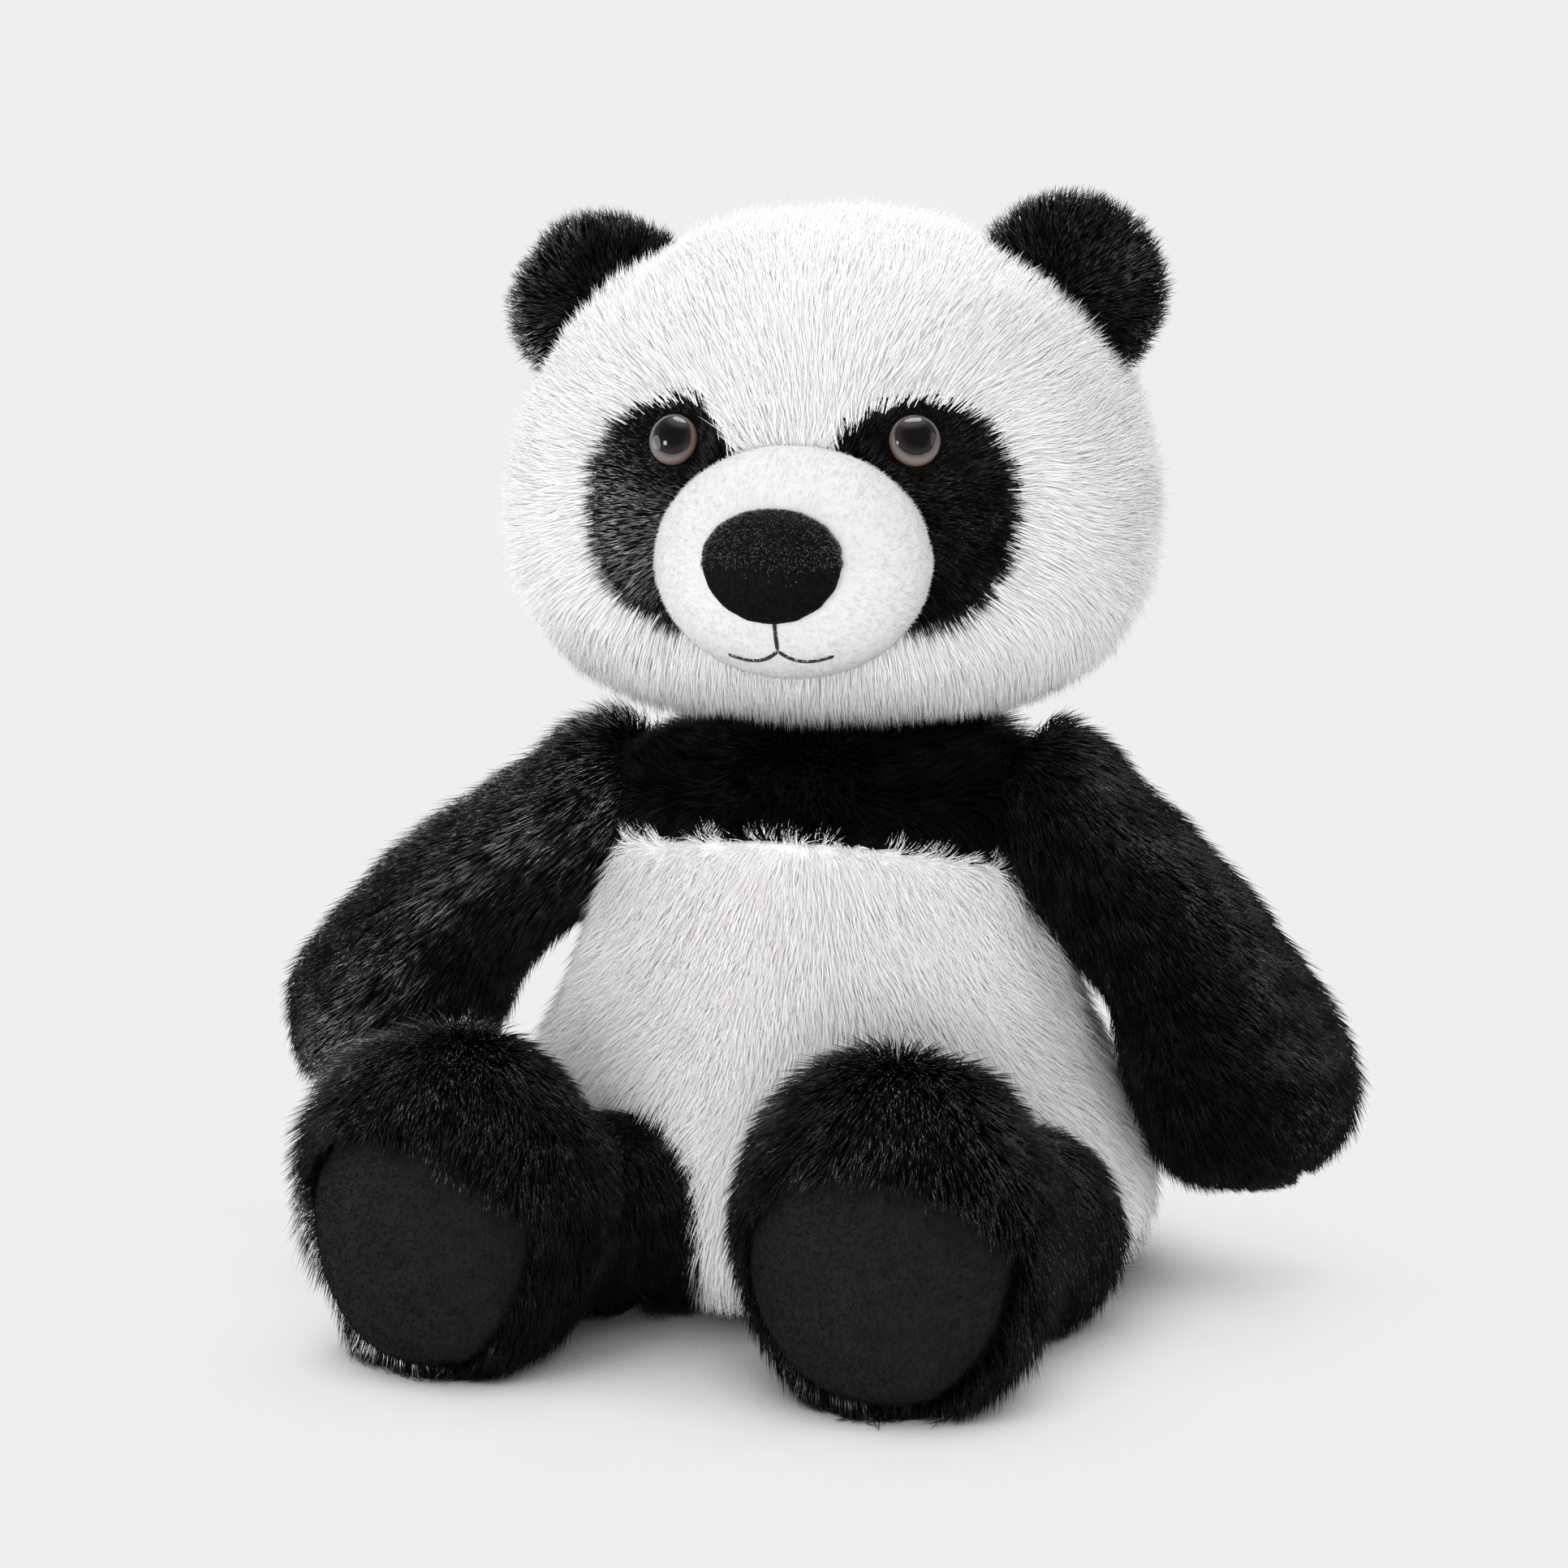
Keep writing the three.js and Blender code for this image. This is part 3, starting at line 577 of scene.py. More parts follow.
def on_bridge(points):
    """The wedge of white fur between the nose and the right eye patch."""
    across = (points - NOSE_AT) @ FACE_X
    rise = np.maximum(points[:, 2] - BRIDGE_FOOT, 0)
    return (across < 0) & (across > -(BRIDGE + BRIDGE_SPREAD * rise))


def whiten(name, label):
    """Gives the white panels what their pile covers of the black ones."""
    points, panels = coords(covers[name].data), COVERS[name][0]
    if name == "torso":
        yoke = label == panels.index("chest_yoke_front")
        label[yoke & (above_seam(points) < 0)] = panels.index("belly_panel")
    if name == "head":
        patch = label == panels.index("eye_patch_right")
        label[patch & on_bridge(points)] = panels.index("head_front_skin")


# ---- cloth pieces ----
labels = {}
for name, (panels, _) in COVERS.items():
    labels[name] = nearest_panel(covers[name], panels)
    whiten(name, labels[name])
    if len(panels) > 1:
        sink_seams(covers[name], labels[name])
    covers[name].data.shade_smooth()

for name, (panels, _) in COVERS.items():
    if name == "muzzle":
        continue
    faces = vertex_labels_to_faces(covers[name].data, labels[name])
    for number, panel in enumerate(panels):
        slot, cloth, _, _ = look_of(panel)
        piece = split_panel(covers[name], faces, number, f"{panel}_cloth")
        settle(piece, body_of_node(panel), slot, cloth, panel)


# ---- fur: how long it is, how thick it stands and which way it is combed ----
ROOT_DEPTH = 1.0 * MM  # how far a strand starts under the cloth
PIECE_STRANDS = 18000  # the most strands in one piece
TIP_REACH = 8.0 * MM  # on the face a strand takes the colour of the panel its tip lies on
LOCK_SIZE = 7  # strands in a lock
STAND_OFF = 0.6 * MM  # no strands this close to another body
SINK = 2.5 * MM  # how far a tip may sink into the pile of a neighbour
LIFT_STEPS = (1.0, 0.6, 0.3, 0.1, 0.05)  # how a strand that sinks too far lies down
HANG_FROM = 0.25  # fur hangs where the cloth faces up less than this
LOWEST = 0.3 * MM  # no strand goes below this height
FLOW_NOISE = 0.17
SWIRL, SWIRL_SIZE = 0.28, 22 * MM
LENGTH_WAVE, LENGTH_WAVE_SIZE = 0.12, 14 * MM
LIFT_NOISE = 8  # degrees
LIFT_WAVE, LIFT_WAVE_SIZE = 6, 18 * MM  # degrees


def fade(distance, reach):
    """From 0 to 1 over the reach."""
    return np.clip(distance / reach, 0, 1)


FACE_POLE = NOSE_AT + FACE_UP * 6 * MM - FACE_BACK * 55 * MM  # the head's fur is combed away from here
CHEEK_HEIGHT, CHEEK_REACH, CHEEK_FALL = 220 * MM, 30 * MM, 1.4


def comb_head(points):
    """Outwards from the face, and a little down below the cheeks."""
    low = fade(CHEEK_HEIGHT - points[:, 2], CHEEK_REACH)
    return unit(points - FACE_POLE) + low[:, None] * np.array((0, 0, -CHEEK_FALL))


TUFT_REACH, TUFT_RISE, TUFT_SIZE = 5.5 * MM, 1.7, 5 * MM  # the fur near the seam stands up in tufts
TUFT_LIFT = 18  # degrees
TRIM_REACH, TRIM_SLOPE, TRIM_SHORTEST, TRIM_WHITE = 15 * MM, 1.1, 2 * MM, 0.5
TORSO_FRONT = 20 * MM  # what is ahead of this is the front
NECK_FUR, NECK_REACH = 148 * MM, 10 * MM  # above this the fur stands up round the neck
NECK_HALF, NECK_LIFT = 40 * MM, 24
NECK_BUSHY = (0.7, 0.3)  # on the left and on the right


def round_neck(points):
    """How far a point of the torso is up at the neck, and how far out to the side."""
    return fade(points[:, 2] - NECK_FUR, NECK_REACH), fade(np.abs(points[:, 0]), NECK_HALF)


def torso_styling(points, black, length, lift):
    """Trims the fur along the colour seam, and lets it stand there and round the neck."""
    over = above_seam(points)
    front = points[:, 1] < TORSO_FRONT
    near = np.clip(1 - np.abs(over) / TRIM_REACH, 0, 1) * front
    short = np.maximum(over, 0) * TRIM_SLOPE + TRIM_SHORTEST
    trimmed = np.where(black, np.minimum(length, short), length * (1 - TRIM_WHITE * near))
    length = np.where(front, trimmed, length)
    lift = lift + np.radians(TUFT_LIFT) * near * ~black
    neck, side = round_neck(points)
    bushy = np.where(points[:, 0] > 0, *NECK_BUSHY)
    return length * (1 + bushy * neck * side), lift + np.radians(NECK_LIFT) * neck


def comb_torso(points):
    """Down and outwards, with the top edge of the belly and the shoulders standing up."""
    spread = np.where(points[:, 1] < 0, 0.7, 0.3)
    down = np.stack([points[:, 0] * spread, points[:, 1] * 0.3, np.full(len(points), -45 * MM)], 1)
    away = points * np.array((1.0, 0, 0))
    away[:, 2] = 30 * MM
    neck = np.prod(round_neck(points), axis=0)[:, None]
    tuft = np.clip(1 - np.abs(above_seam(points)) / TUFT_REACH, 0, 1)[:, None] * (points[:, 1:2] < 0)
    uneven = 0.8 + smooth_noise(points, TUFT_SIZE, SEED + 3)
    upward = tuft * uneven[:, None] * np.array((0, 0, TUFT_RISE))
    return (unit(down) + upward) * (1 - neck) + unit(away) * neck


def joint_at(name):
    joint = next(j for j in frame["joints"] if j["name"] == name)
    return np.array(joint["pos_m"], float)


PAW_FROM, PAW_REACH = 0.8, 0.12  # where the paw starts along the arm, and its length
PAW_TRIM = {"left": 0.65, "right": 0.0}


def comb_arm(side):
    """Along the arm from the shoulder to the paw."""
    root = joint_at(f"arm_{side}_lift")
    points = coords(covers[f"arm_{side}"].data)
    axis = unit(points[np.linalg.norm(points - root, axis=1).argmax()] - root)
    return lambda points: points * 0 + axis


def arm_styling(side, points, up, length):
    """Trims the fur under the tip of the paw."""
    far = np.linalg.norm(points - joint_at(f"arm_{side}_lift"), axis=1)
    tip = fade(far / far.max() - PAW_FROM, PAW_REACH) * np.clip(-up[:, 2], 0, 1)
    return length * (1 - PAW_TRIM[side] * tip)


CROWN_BACK, CROWN_UP = 30 * MM, 52 * MM  # from the middle of the sole


def foot_crown(side):
    """The point on top of a foot that its fur falls from."""
    low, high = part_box(f"leg_{side}_sole")
    return np.array((low + high) / 2) + np.array((0, CROWN_BACK, CROWN_UP))


FOOT_BUSHY, BUSHY_LIFT = 0.12, 20  # on the outer side of the foot; degrees
BUSHY_FROM, BUSHY_REACH = 8 * MM, 14 * MM
FOOT_END, FOOT_FADE = 8 * MM, 10 * MM  # behind the crown
THIGH_TRIM, THIGH_FLAT = 0.35, 0.4


def leg_styling(side, points, up, length, lift):
    """Fur that stands out on the outer side of the foot and lies flat and short on the thigh."""
    crown = foot_crown(side)
    outward = (points[:, 0] - crown[0]) * (1 if side == "left" else -1)
    ahead = fade(crown[1] + FOOT_END - points[:, 1], FOOT_FADE)
    bushy = fade(outward - BUSHY_FROM, BUSHY_REACH) * ahead
    thigh = (1 - ahead) * np.clip(up[:, 2], 0, 1)
    length = length * (1 + FOOT_BUSHY * bushy) * (1 - THIGH_TRIM * thigh)
    return length, lift * (1 - THIGH_FLAT * thigh) + np.radians(BUSHY_LIFT) * bushy


THIGH_FADE = 12 * MM


def comb_leg(side):
    """Off the crown of the foot and over the sole; down the sides of the thigh."""
    crown = foot_crown(side)
    hip = joint_at(f"leg_{side}_spread")

    def comb(points):
        foot = unit(points - crown) + np.array((0, -0.25, 0))
        outward = np.sign(points[:, 0] - hip[0]) * 0.6
        thigh = np.stack([outward, np.full(len(points), -0.7), np.full(len(points), -1.0)], 1)
        share = fade(points[:, 1] - crown[1], THIGH_FADE)[:, None]
        return foot * (1 - share) + unit(thigh) * share

    return comb


def comb_ear(side):
    """Outwards to the rim."""
    root = joint_at(f"ear_{side}_fold")
    return lambda points: unit(points - root)


def comb_muzzle(points):
    """Away from the nose."""
    return unit(points - (NOSE_AT - FACE_BACK * 20 * MM))


def comb_nose(points):
    """Down."""
    return points * 0 - FACE_UP


def comb_neck(points):
    """Outwards and a little down."""
    return unit(points * np.array((1, 1, 0))) + np.array((0, 0, -0.3))


COMBS = {"torso": comb_torso, "head": comb_head, "muzzle": comb_muzzle}
for side in SIDES:
    COMBS[f"arm_{side}"] = comb_arm(side)
    COMBS[f"leg_{side}"] = comb_leg(side)
    COMBS[f"ear_{side}"] = comb_ear(side)

NEIGHBOUR_REACH = 20 * MM  # how far round a cover its neighbours are looked for


def neighbours(name, points, reach=0.0):
    """The surface of every other cover, and which of the points are near it."""
    for other in covers:
        if other != name:
            low, high = cover_boxes[other]
            near = ((points > low - reach) & (points < high + reach)).all(1)
            yield cover_trees[other], np.flatnonzero(near)


def cover_clearance(name):
    """For each vertex of a cover, how far the nearest other cover is, up to NEIGHBOUR_REACH."""
    points = coords(covers[name].data)
    far = np.full(len(points), NEIGHBOUR_REACH)
    for tree, near in neighbours(name, points, NEIGHBOUR_REACH):
        for i in near:
            where, out, _, gap = tree.find_nearest(points[i], NEIGHBOUR_REACH)
            if gap is not None:
                inside = (Vector(points[i]) - where).dot(out) < 0
                far[i] = min(far[i], 0 if inside else gap)
    return far


def scatter(cover, density_of_tri, rng):
    """Random roots on a cover: which triangle, and the weights of its corners."""
    points, tris = coords(cover.data), triangles(cover.data)
    a, b, c = (points[tris[:, i]] for i in range(3))
    area = np.linalg.norm(np.cross(b - a, c - a), axis=1) / 2
    weight = area * density_of_tri
    count = int(weight.sum())
    pick = rng.choice(len(tris), count, p=weight / weight.sum())
    u, v = np.sqrt(rng.random(count)), rng.random(count)
    return pick, np.stack([1 - u, u * (1 - v), u * v], 1)


def blend_corners(values, tris, pick, share):
    """A value of the vertices at the roots."""
    return np.einsum("ij...,ij->i...", values[tris[pick]], share)


def along(flow, up):
    """A direction laid along the cloth."""
    return unit(flow - (flow * up).sum(1, keepdims=True) * up)


def clump(roots, tips, rng, pull):
    """Draws the tips of neighbouring strands together into locks."""
    chosen = rng.choice(len(roots), len(roots) // LOCK_SIZE, replace=False)
    tree = kd_tree(roots[chosen])
    owner = chosen[[tree.find(p)[1] for p in roots]]
    strength = pull * rng.uniform(0.4, 1.0, (len(roots), 1))
    return tips + (tips[owner] - tips) * strength


STRAND_POINTS = 7  # two rings of three and a tip
STRAND_TAPER = 0.8  # the width half way up
STRAND_FACES = np.array(((0, 2, 1), (0, 1, 4), (0, 4, 3), (1, 2, 5), (1, 5, 4), (2, 0, 3), (2, 3, 5),
                         (3, 4, 6), (4, 5, 6), (5, 3, 6)))


def strand_mesh(name, roots, middles, tips, across, width, tone, facing=None):
    """Three-sided strands that taper to a point, as one mesh; tone picks the material.
    With facing, a strand is shaded as a soft pile that faces this way and not as a hard hair."""
    count = len(roots)
    verts = np.empty((count, STRAND_POINTS, 3))
    for base, (centre, ahead, share) in enumerate(
            ((roots, middles - roots, 1.0), (middles, tips - roots, STRAND_TAPER))):
        side = unit(across)
        up = unit(np.cross(ahead, side))
        for i in range(3):
            angle = i * math.tau / 3
            turn = math.cos(angle) * side + math.sin(angle) * up
            verts[:, base * 3 + i] = centre + turn * (width * share / 2)[:, None]
    verts[:, -1] = tips
    firsts = np.arange(count) * STRAND_POINTS
    loops = (STRAND_FACES[None] + firsts[:, None, None]).reshape(-1)
    mesh = bpy.data.meshes.new(name)
    mesh.vertices.add(count * STRAND_POINTS)
    mesh.vertices.foreach_set("co", verts.astype(np.float32).ravel())
    mesh.loops.add(len(loops))
    mesh.loops.foreach_set("vertex_index", loops.astype(np.int32))
    total = count * len(STRAND_FACES)
    mesh.polygons.add(total)
    mesh.polygons.foreach_set("loop_start", np.arange(total, dtype=np.int32) * 3)
    tones = np.repeat(tone, len(STRAND_FACES))
    mesh.polygons.foreach_set("material_index", tones.astype(np.int32))
    mesh.update(calc_edges=True)
    mesh.polygons.foreach_set("use_smooth", np.ones(total, bool))
    if facing is not None:
        mesh.normals_split_custom_set_from_vertices(np.repeat(facing, STRAND_POINTS, axis=0))
    return link(name, mesh)


def inside_others(name, ends):
    """Which of these points lie in another cover."""
    inside = np.zeros(len(ends), bool)
    for tree, near in neighbours(name, ends):
        for i in near[~inside[near]]:
            where, out, _, _ = tree.find_nearest(ends[i])
            inside[i] = (Vector(ends[i]) - where).dot(out) < -SINK
    return inside


EYE_CLEAR = 8.2 * MM  # no fur this close to an eye
EYE_SHORT, EYE_REACH = 0.35, 14 * MM  # how short it starts there, and when it is full


def face_limits(roots, length):
    """Short fur round the eyes and none under them: the lengths, and which strands stay."""
    keep = np.ones(len(roots), bool)
    for eye in (EYE_L, EYE_R):
        far = np.linalg.norm(roots - eye, axis=1) - EYE_CLEAR
        keep &= far > 0
        length = length * np.clip(EYE_SHORT + far / EYE_REACH, EYE_SHORT, 1)
    return length, keep


def combed(name, roots, up, rng):
    """The way each strand is combed, with a slow swirl and a little disorder."""
    flow = COMBS[name](roots)
    swirl = smooth_noise(roots, SWIRL_SIZE, SEED)[:, None] * SWIRL
    flow = along(flow + swirl * np.cross(flow, up), up)
    return along(unit(flow + rng.normal(0, FLOW_NOISE, flow.shape)), up)


def styled(name, roots, up, panel, spec, rng):
    """Length and lift of each strand."""
    length = spec[:, 0] * MM * rng.uniform(0.65, 1.15, len(roots))
    length *= 1 + LENGTH_WAVE * smooth_noise(roots, LENGTH_WAVE_SIZE, SEED + 1)
    lift = np.radians(spec[:, 2] + rng.normal(0, LIFT_NOISE, len(roots)))
    lift += np.radians(LIFT_WAVE) * smooth_noise(roots, LIFT_WAVE_SIZE, SEED + 2)
    form, _, side = name.partition("_")
    if form == "torso":
        panels = COVERS[name][0]
        black = np.isin(panel, [panels.index("chest_yoke_front"), panels.index("back_yoke")])
        length, lift = torso_styling(roots, black, length, lift)
    if form == "arm":
        length = arm_styling(side, roots, up, length)
    if form == "leg":
        furred = spec[:, 0] > SOLE_PILE[0]
        long, raised = leg_styling(side, roots, up, length, lift)
        length, lift = np.where(furred, long, length), np.where(furred, raised, lift)
    return length, lift


def grow_fur(name):
    """Covers one stuffed form with strands, one or more pieces for each of its panels."""
    rng = np.random.default_rng(SEED + sorted(COMBS).index(name))
    cover, panels, label = covers[name], COVERS[name][0], labels[name]
    tris, points = triangles(cover.data), coords(cover.data)
    room = cover_clearance(name)
    specs = np.array([look_of(p)[3] for p in panels])
    density = specs[label][:, 1] / MM ** 2 * (room > STAND_OFF)
    pick, share = scatter(cover, density[tris].mean(1), rng)
    roots = blend_corners(points, tris, pick, share)
    up = unit(blend_corners(normals(cover.data), tris, pick, share))
    clear = blend_corners(room, tris, pick, share)

    flow = combed(name, roots, up, rng)
    panel = label[tris[pick, share.argmax(1)]]
    if name == "head":
        tree = kd_tree(points)
        panel = label[[tree.find(p)[1] for p in roots + flow * TIP_REACH]]
    length, lift = styled(name, roots, up, panel, specs[panel], rng)
    keep = np.ones(len(roots), bool)
    if name == "head":
        length, keep = face_limits(roots, length)
    _, _, pull, fall = FORMS[name.split("_")[0]]
    hang = np.clip(HANG_FROM - up[:, 2], 0, 1)[:, None] * np.array((0, 0, -fall))

    def leaning(angle):
        return unit(np.cos(angle)[:, None] * flow + np.sin(angle)[:, None] * up + hang)

    squeeze = np.ones(len(roots))
    crowded = np.flatnonzero(clear < length + STAND_OFF)
    for tried, lower in zip(LIFT_STEPS, LIFT_STEPS[1:]):
        ends = roots[crowded] + (leaning(lift * tried) * length[:, None])[crowded]
        crowded = crowded[inside_others(name, ends)]
        squeeze[crowded] = lower
    lift = lift * squeeze

    steep, flat = lift * 1.35, lift * 0.65
    middles = roots + leaning(steep) * (length * 0.5)[:, None]
    tips = middles + leaning(flat) * (length * 0.5)[:, None]
    pulled = clump(roots, tips, rng, pull)
    middles = middles + (pulled - tips) * 0.3
    sunk = roots - up * np.minimum(ROOT_DEPTH, length * 0.4)[:, None]
    for line in (sunk, middles, pulled):
        line[:, 2] = np.maximum(line[:, 2], LOWEST)
    width = specs[panel, 3] * MM * rng.uniform(0.75, 1.2, len(roots))
    tone = rng.choice(3, len(roots), p=(0.5, 0.3, 0.2))
    strands = (sunk, middles, pulled, np.cross(flow, up), width, tone)
    for number, node in enumerate(panels):
        mine = np.flatnonzero((panel == number) & keep)
        write_fur(node, mine[np.argsort(roots[mine, 2], kind="stable")], strands, up)


def write_fur(node, mine, strands, up):
    """The strands of one panel as pieces of at most PIECE_STRANDS, from the lowest up."""
    slot, _, materials, _ = look_of(node)
    soft = materials in (WHITE_FUR, VELOUR)
    for number, part in enumerate(np.array_split(mine, math.ceil(len(mine) / PIECE_STRANDS)), 1):
        piece = strand_mesh(f"{node}_fur_{number}", *(line[part] for line in strands),
                            up[part] if soft else None)
        settle(piece, body_of_node(node), slot, materials)
        if materials is BLACK_FUR:
            sheen_receivers.objects.link(piece)


def stub_fur(obj, body, comb, spec, name, slot, materials, top_only=False):
    """Strands on a small form, all over it or only where it faces up."""
    rng = np.random.default_rng(SEED)
    length_mm, density, lift_deg, width_mm = spec
    tris = triangles(obj.data)
    share_of_face = np.ones(len(tris))
    if top_only:
        share_of_face = np.clip(normals(obj.data)[tris].mean(1)[:, 2] * 4 + 0.4, 0, 1)
    pick, share = scatter(obj, density / MM ** 2 * share_of_face, rng)
    roots = blend_corners(coords(obj.data), tris, pick, share)
    up = unit(blend_corners(normals(obj.data), tris, pick, share))
    flow = along(comb(roots) + rng.normal(0, 0.25, roots.shape), up)
    lift = math.radians(lift_deg)
    lean = unit(flow * math.cos(lift) + up * math.sin(lift))
    length = (length_mm * MM * rng.uniform(0.7, 1.1, len(roots)))[:, None]
    middles, tips = roots + lean * length * 0.5, roots + (lean + flow * 0.25) * length
    width = np.full(len(roots), width_mm * MM)
    sunk = roots - up * min(ROOT_DEPTH, length_mm * MM * 0.4)
    piece = strand_mesh(name, sunk, middles, tips, np.cross(flow, up), width, rng.choice(3, len(roots)))
    settle(piece, body, slot, materials)


sheen_receivers = bpy.data.collections.new("black_pile")
cover_trees = {n: tree_of(coords(o.data), triangles(o.data)) for n, o in covers.items()}
cover_boxes = {n: (coords(o.data).min(0), coords(o.data).max(0)) for n, o in covers.items()}
for name in COMBS:
    grow_fur(name)


# ---- muzzle and nose ----
muzzle = link("muzzle_skin_cloth", covers["muzzle"].data.copy())
settle(muzzle, "head", "muzzle_plush", muzzle_velour, "muzzle_skin")

NOSE_CELL, NOSE_SMOOTHING, NOSE_ROUGHNESS = 0.9 * MM, 14, 0.05 * MM
nose = smoothed(remeshed("nose_flocked", ["nose"], NOSE_CELL), NOSE_SMOOTHING)
finer(nose)
nose.data.shade_smooth()
rng = np.random.default_rng(SEED)
rough = rng.normal(0, NOSE_ROUGHNESS, (len(nose.data.vertices), 1))
set_coords(nose.data, coords(nose.data) + normals(nose.data) * rough)
settle(nose, "head", "nose_flock", nose_flock, "nose")
# pile only where the nose faces up, lighter than the flock: painted light on its top
stub_fur(nose, "head", comb_nose, FLOCK, "nose_flock_pile_painted_light", "nose_flock", NOSE_PILE_PAINTED_TOP_LIGHT, top_only=True)


# ---- eyes: a painted dome under a clear coat ----
def quads(rows, around, first=0):
    """The faces between rings of points."""
    faces = []
    for a in range(first, first + (rows - 1) * around, around):
        for i in range(around):
            j = (i + 1) % around
            faces.append((a + i, a + j, a + around + j, a + around + i))
    return faces


def turned(name, centre, axis, rings, around=48):
    """A closed turned form from (radius, height) rings along an axis; the ends close to points."""
    side = unit(np.cross(axis, (0.3, 0.2, 0.9)))
    other = np.cross(axis, side)
    verts = [centre + axis * rings[0][1]]
    for radius, height in rings[1:-1]:
        for angle in np.arange(around) * math.tau / around:
            spoke = side * math.cos(angle) + other * math.sin(angle)
            verts.append(centre + axis * height + spoke * radius)
    verts.append(centre + axis * rings[-1][1])
    faces = quads(len(rings) - 2, around, 1)
    last = len(verts) - 1 - around
    for i in range(around):
        j = (i + 1) % around
        faces += [(0, 1 + j, 1 + i), (last + i, last + j, last + around)]
    mesh = new_mesh(name, verts, faces)
    bm = bmesh.new()
    bm.from_mesh(mesh)
    bmesh.ops.recalc_face_normals(bm, faces=bm.faces)
    bm.to_mesh(mesh)
    bm.free()
    mesh.shade_smooth()
    return link(name, mesh)


def axis_of(side):
    return unit(centre_of(f"eye_{side}_backing") - centre_of(f"eye_{side}_washer"))


def lens_size(side, axis):
    """The middle of the lens's foot, its height and its radius."""
    points = welded(frame["nodes"][f"eye_{side}_lens"].data)[0]
    middle = points.mean(0)
    along_axis = (points - middle) @ axis
    around = np.linalg.norm(points - middle - along_axis[:, None] * axis, axis=1)
    return middle + axis * along_axis.min(), np.ptp(along_axis), around.max()


# pupil and iris are the eye's own paint; the outer paler grey-brown stops are mostly a painted reflection
# on the dome
PUPIL_IRIS_AND_PAINTED_REFLECTION = (
    (0.0, (0.003, 0.003, 0.0035)), (0.5, (0.004, 0.004, 0.0045)), (0.66, (0.014, 0.011, 0.0105)),
    (0.76, (0.024, 0.019, 0.018)), (0.8, (0.006, 0.006, 0.006)), (0.86, (0.07, 0.066, 0.066)),
    (1.0, (0.15, 0.13, 0.122)))
RIM_START = ((0.93, (0, 0, 0)), (0.97, (1, 1, 1)))
RIM_COLOUR = (0.16, 0.1, 0.075, 1)
IRIS_WAVE = 0.06


def eye_paint():
    """Black pupil in a brown iris, with a paler ring and a brown rim, under a hard clear coat. The paler
    ring is mostly a painted reflection of the room on the dome.
    """
    material = new_material("eye_paint", (0.01, 0.01, 0.01), 0.4, Specular_IOR_Level=0.05,
                            Coat_Weight=1.0, Coat_Roughness=0.02)
    disc = add_node(material, "ShaderNodeAttribute", attribute_name="pupil_distance")
    rim = add_node(material, "ShaderNodeAttribute", attribute_name="rim_distance")
    wavy = add_node(material, "ShaderNodeMath", operation="MULTIPLY_ADD")
    wavy.inputs[1].default_value = IRIS_WAVE
    wire(material, noise_node(material, 700.0, 2.0), wavy.inputs[0])
    wire(material, disc.outputs["Fac"], wavy.inputs[2])
    both = add_node(material, "ShaderNodeMixRGB", Color2=RIM_COLOUR)
    wire(material, ramp_of(material, rim.outputs["Fac"], RIM_START), both.inputs["Fac"])
    wire(material, ramp_of(material, wavy.outputs[0], PUPIL_IRIS_AND_PAINTED_REFLECTION), both.inputs["Color1"])
    wire(material, both.outputs["Color"], principled(material, "Base Color"))
    return material


eye_material = eye_paint()
DOME_STEPS = 28
DOME_FOOT = 1.3 * MM  # the dome's straight foot, sunk into the fur
PUPIL_SHIFT = {"left": (0.04, 0.12), "right": (0.24, 0.12)}  # towards the nose and up, in radii


def dome_rings(radius, dome):
    """Radius and height of a dome on a straight foot."""
    rings = [(0, -DOME_FOOT), (radius * 0.97, -DOME_FOOT), (radius, -DOME_FOOT * 0.7)]
    for i in range(DOME_STEPS):
        turn = i / DOME_STEPS * math.pi / 2
        rings.append((radius * math.cos(turn), dome * math.sin(turn)))
    return rings + [(0, dome)]


for sign, side in ((1, "left"), (-1, "right")):
    axis = axis_of(side)
    base, dome, radius = lens_size(side, axis)
    eye = turned(f"eye_{side}_dome", base, axis, dome_rings(radius, dome))
    across = unit(np.cross(axis, FACE_UP))
    across = across * np.sign(across @ -FACE_X * sign)
    upward = unit(np.cross(across, axis))
    upward = upward * np.sign(upward[2])
    far = (coords(eye.data) - base) / radius
    plane = np.stack([far @ across, far @ upward], 1)
    for field, value in (("pupil_distance", np.linalg.norm(plane - PUPIL_SHIFT[side], axis=1)),
                         ("rim_distance", np.linalg.norm(plane, axis=1))):
        eye.data.attributes.new(field, "FLOAT", "POINT").data.foreach_set("value", value)
    settle(eye, "head", "eye_lens", eye_material, f"eye_{side}_lens")


# ---- mouth: one thread down from the nose and two ways out ----
def tube(name, points, radius, around=8):
    """A round thread along points, thinner at its ends."""
    points = np.array(points)
    ahead = unit(np.gradient(points, axis=0))
    side = unit(np.cross(ahead, FACE_BACK))
    up = np.cross(side, ahead)
    angles = np.arange(around) * math.tau / around
    verts = []
    for i, p in enumerate(points):
        thin = radius * (0.35 if i in (0, len(points) - 1) else 1)
        verts += [p + (side[i] * math.cos(a) + up[i] * math.sin(a)) * thin for a in angles]
    faces = [tuple(range(around))[::-1], tuple(range(len(verts) - around, len(verts)))]
    faces += quads(len(points), around)
    mesh = new_mesh(name, verts, faces)
    mesh.shade_smooth()
    return mesh


def on_muzzle(x, z):
    """The muzzle's surface at x from its middle line and height z."""
    start = NOSE_AT * np.array((1, 1, 0)) + FACE_X * x + FACE_UP * z - FACE_BACK * 80 * MM
    hit = cover_trees["muzzle"].ray_cast(Vector(start), Vector(FACE_BACK))
    return np.array(hit[0])


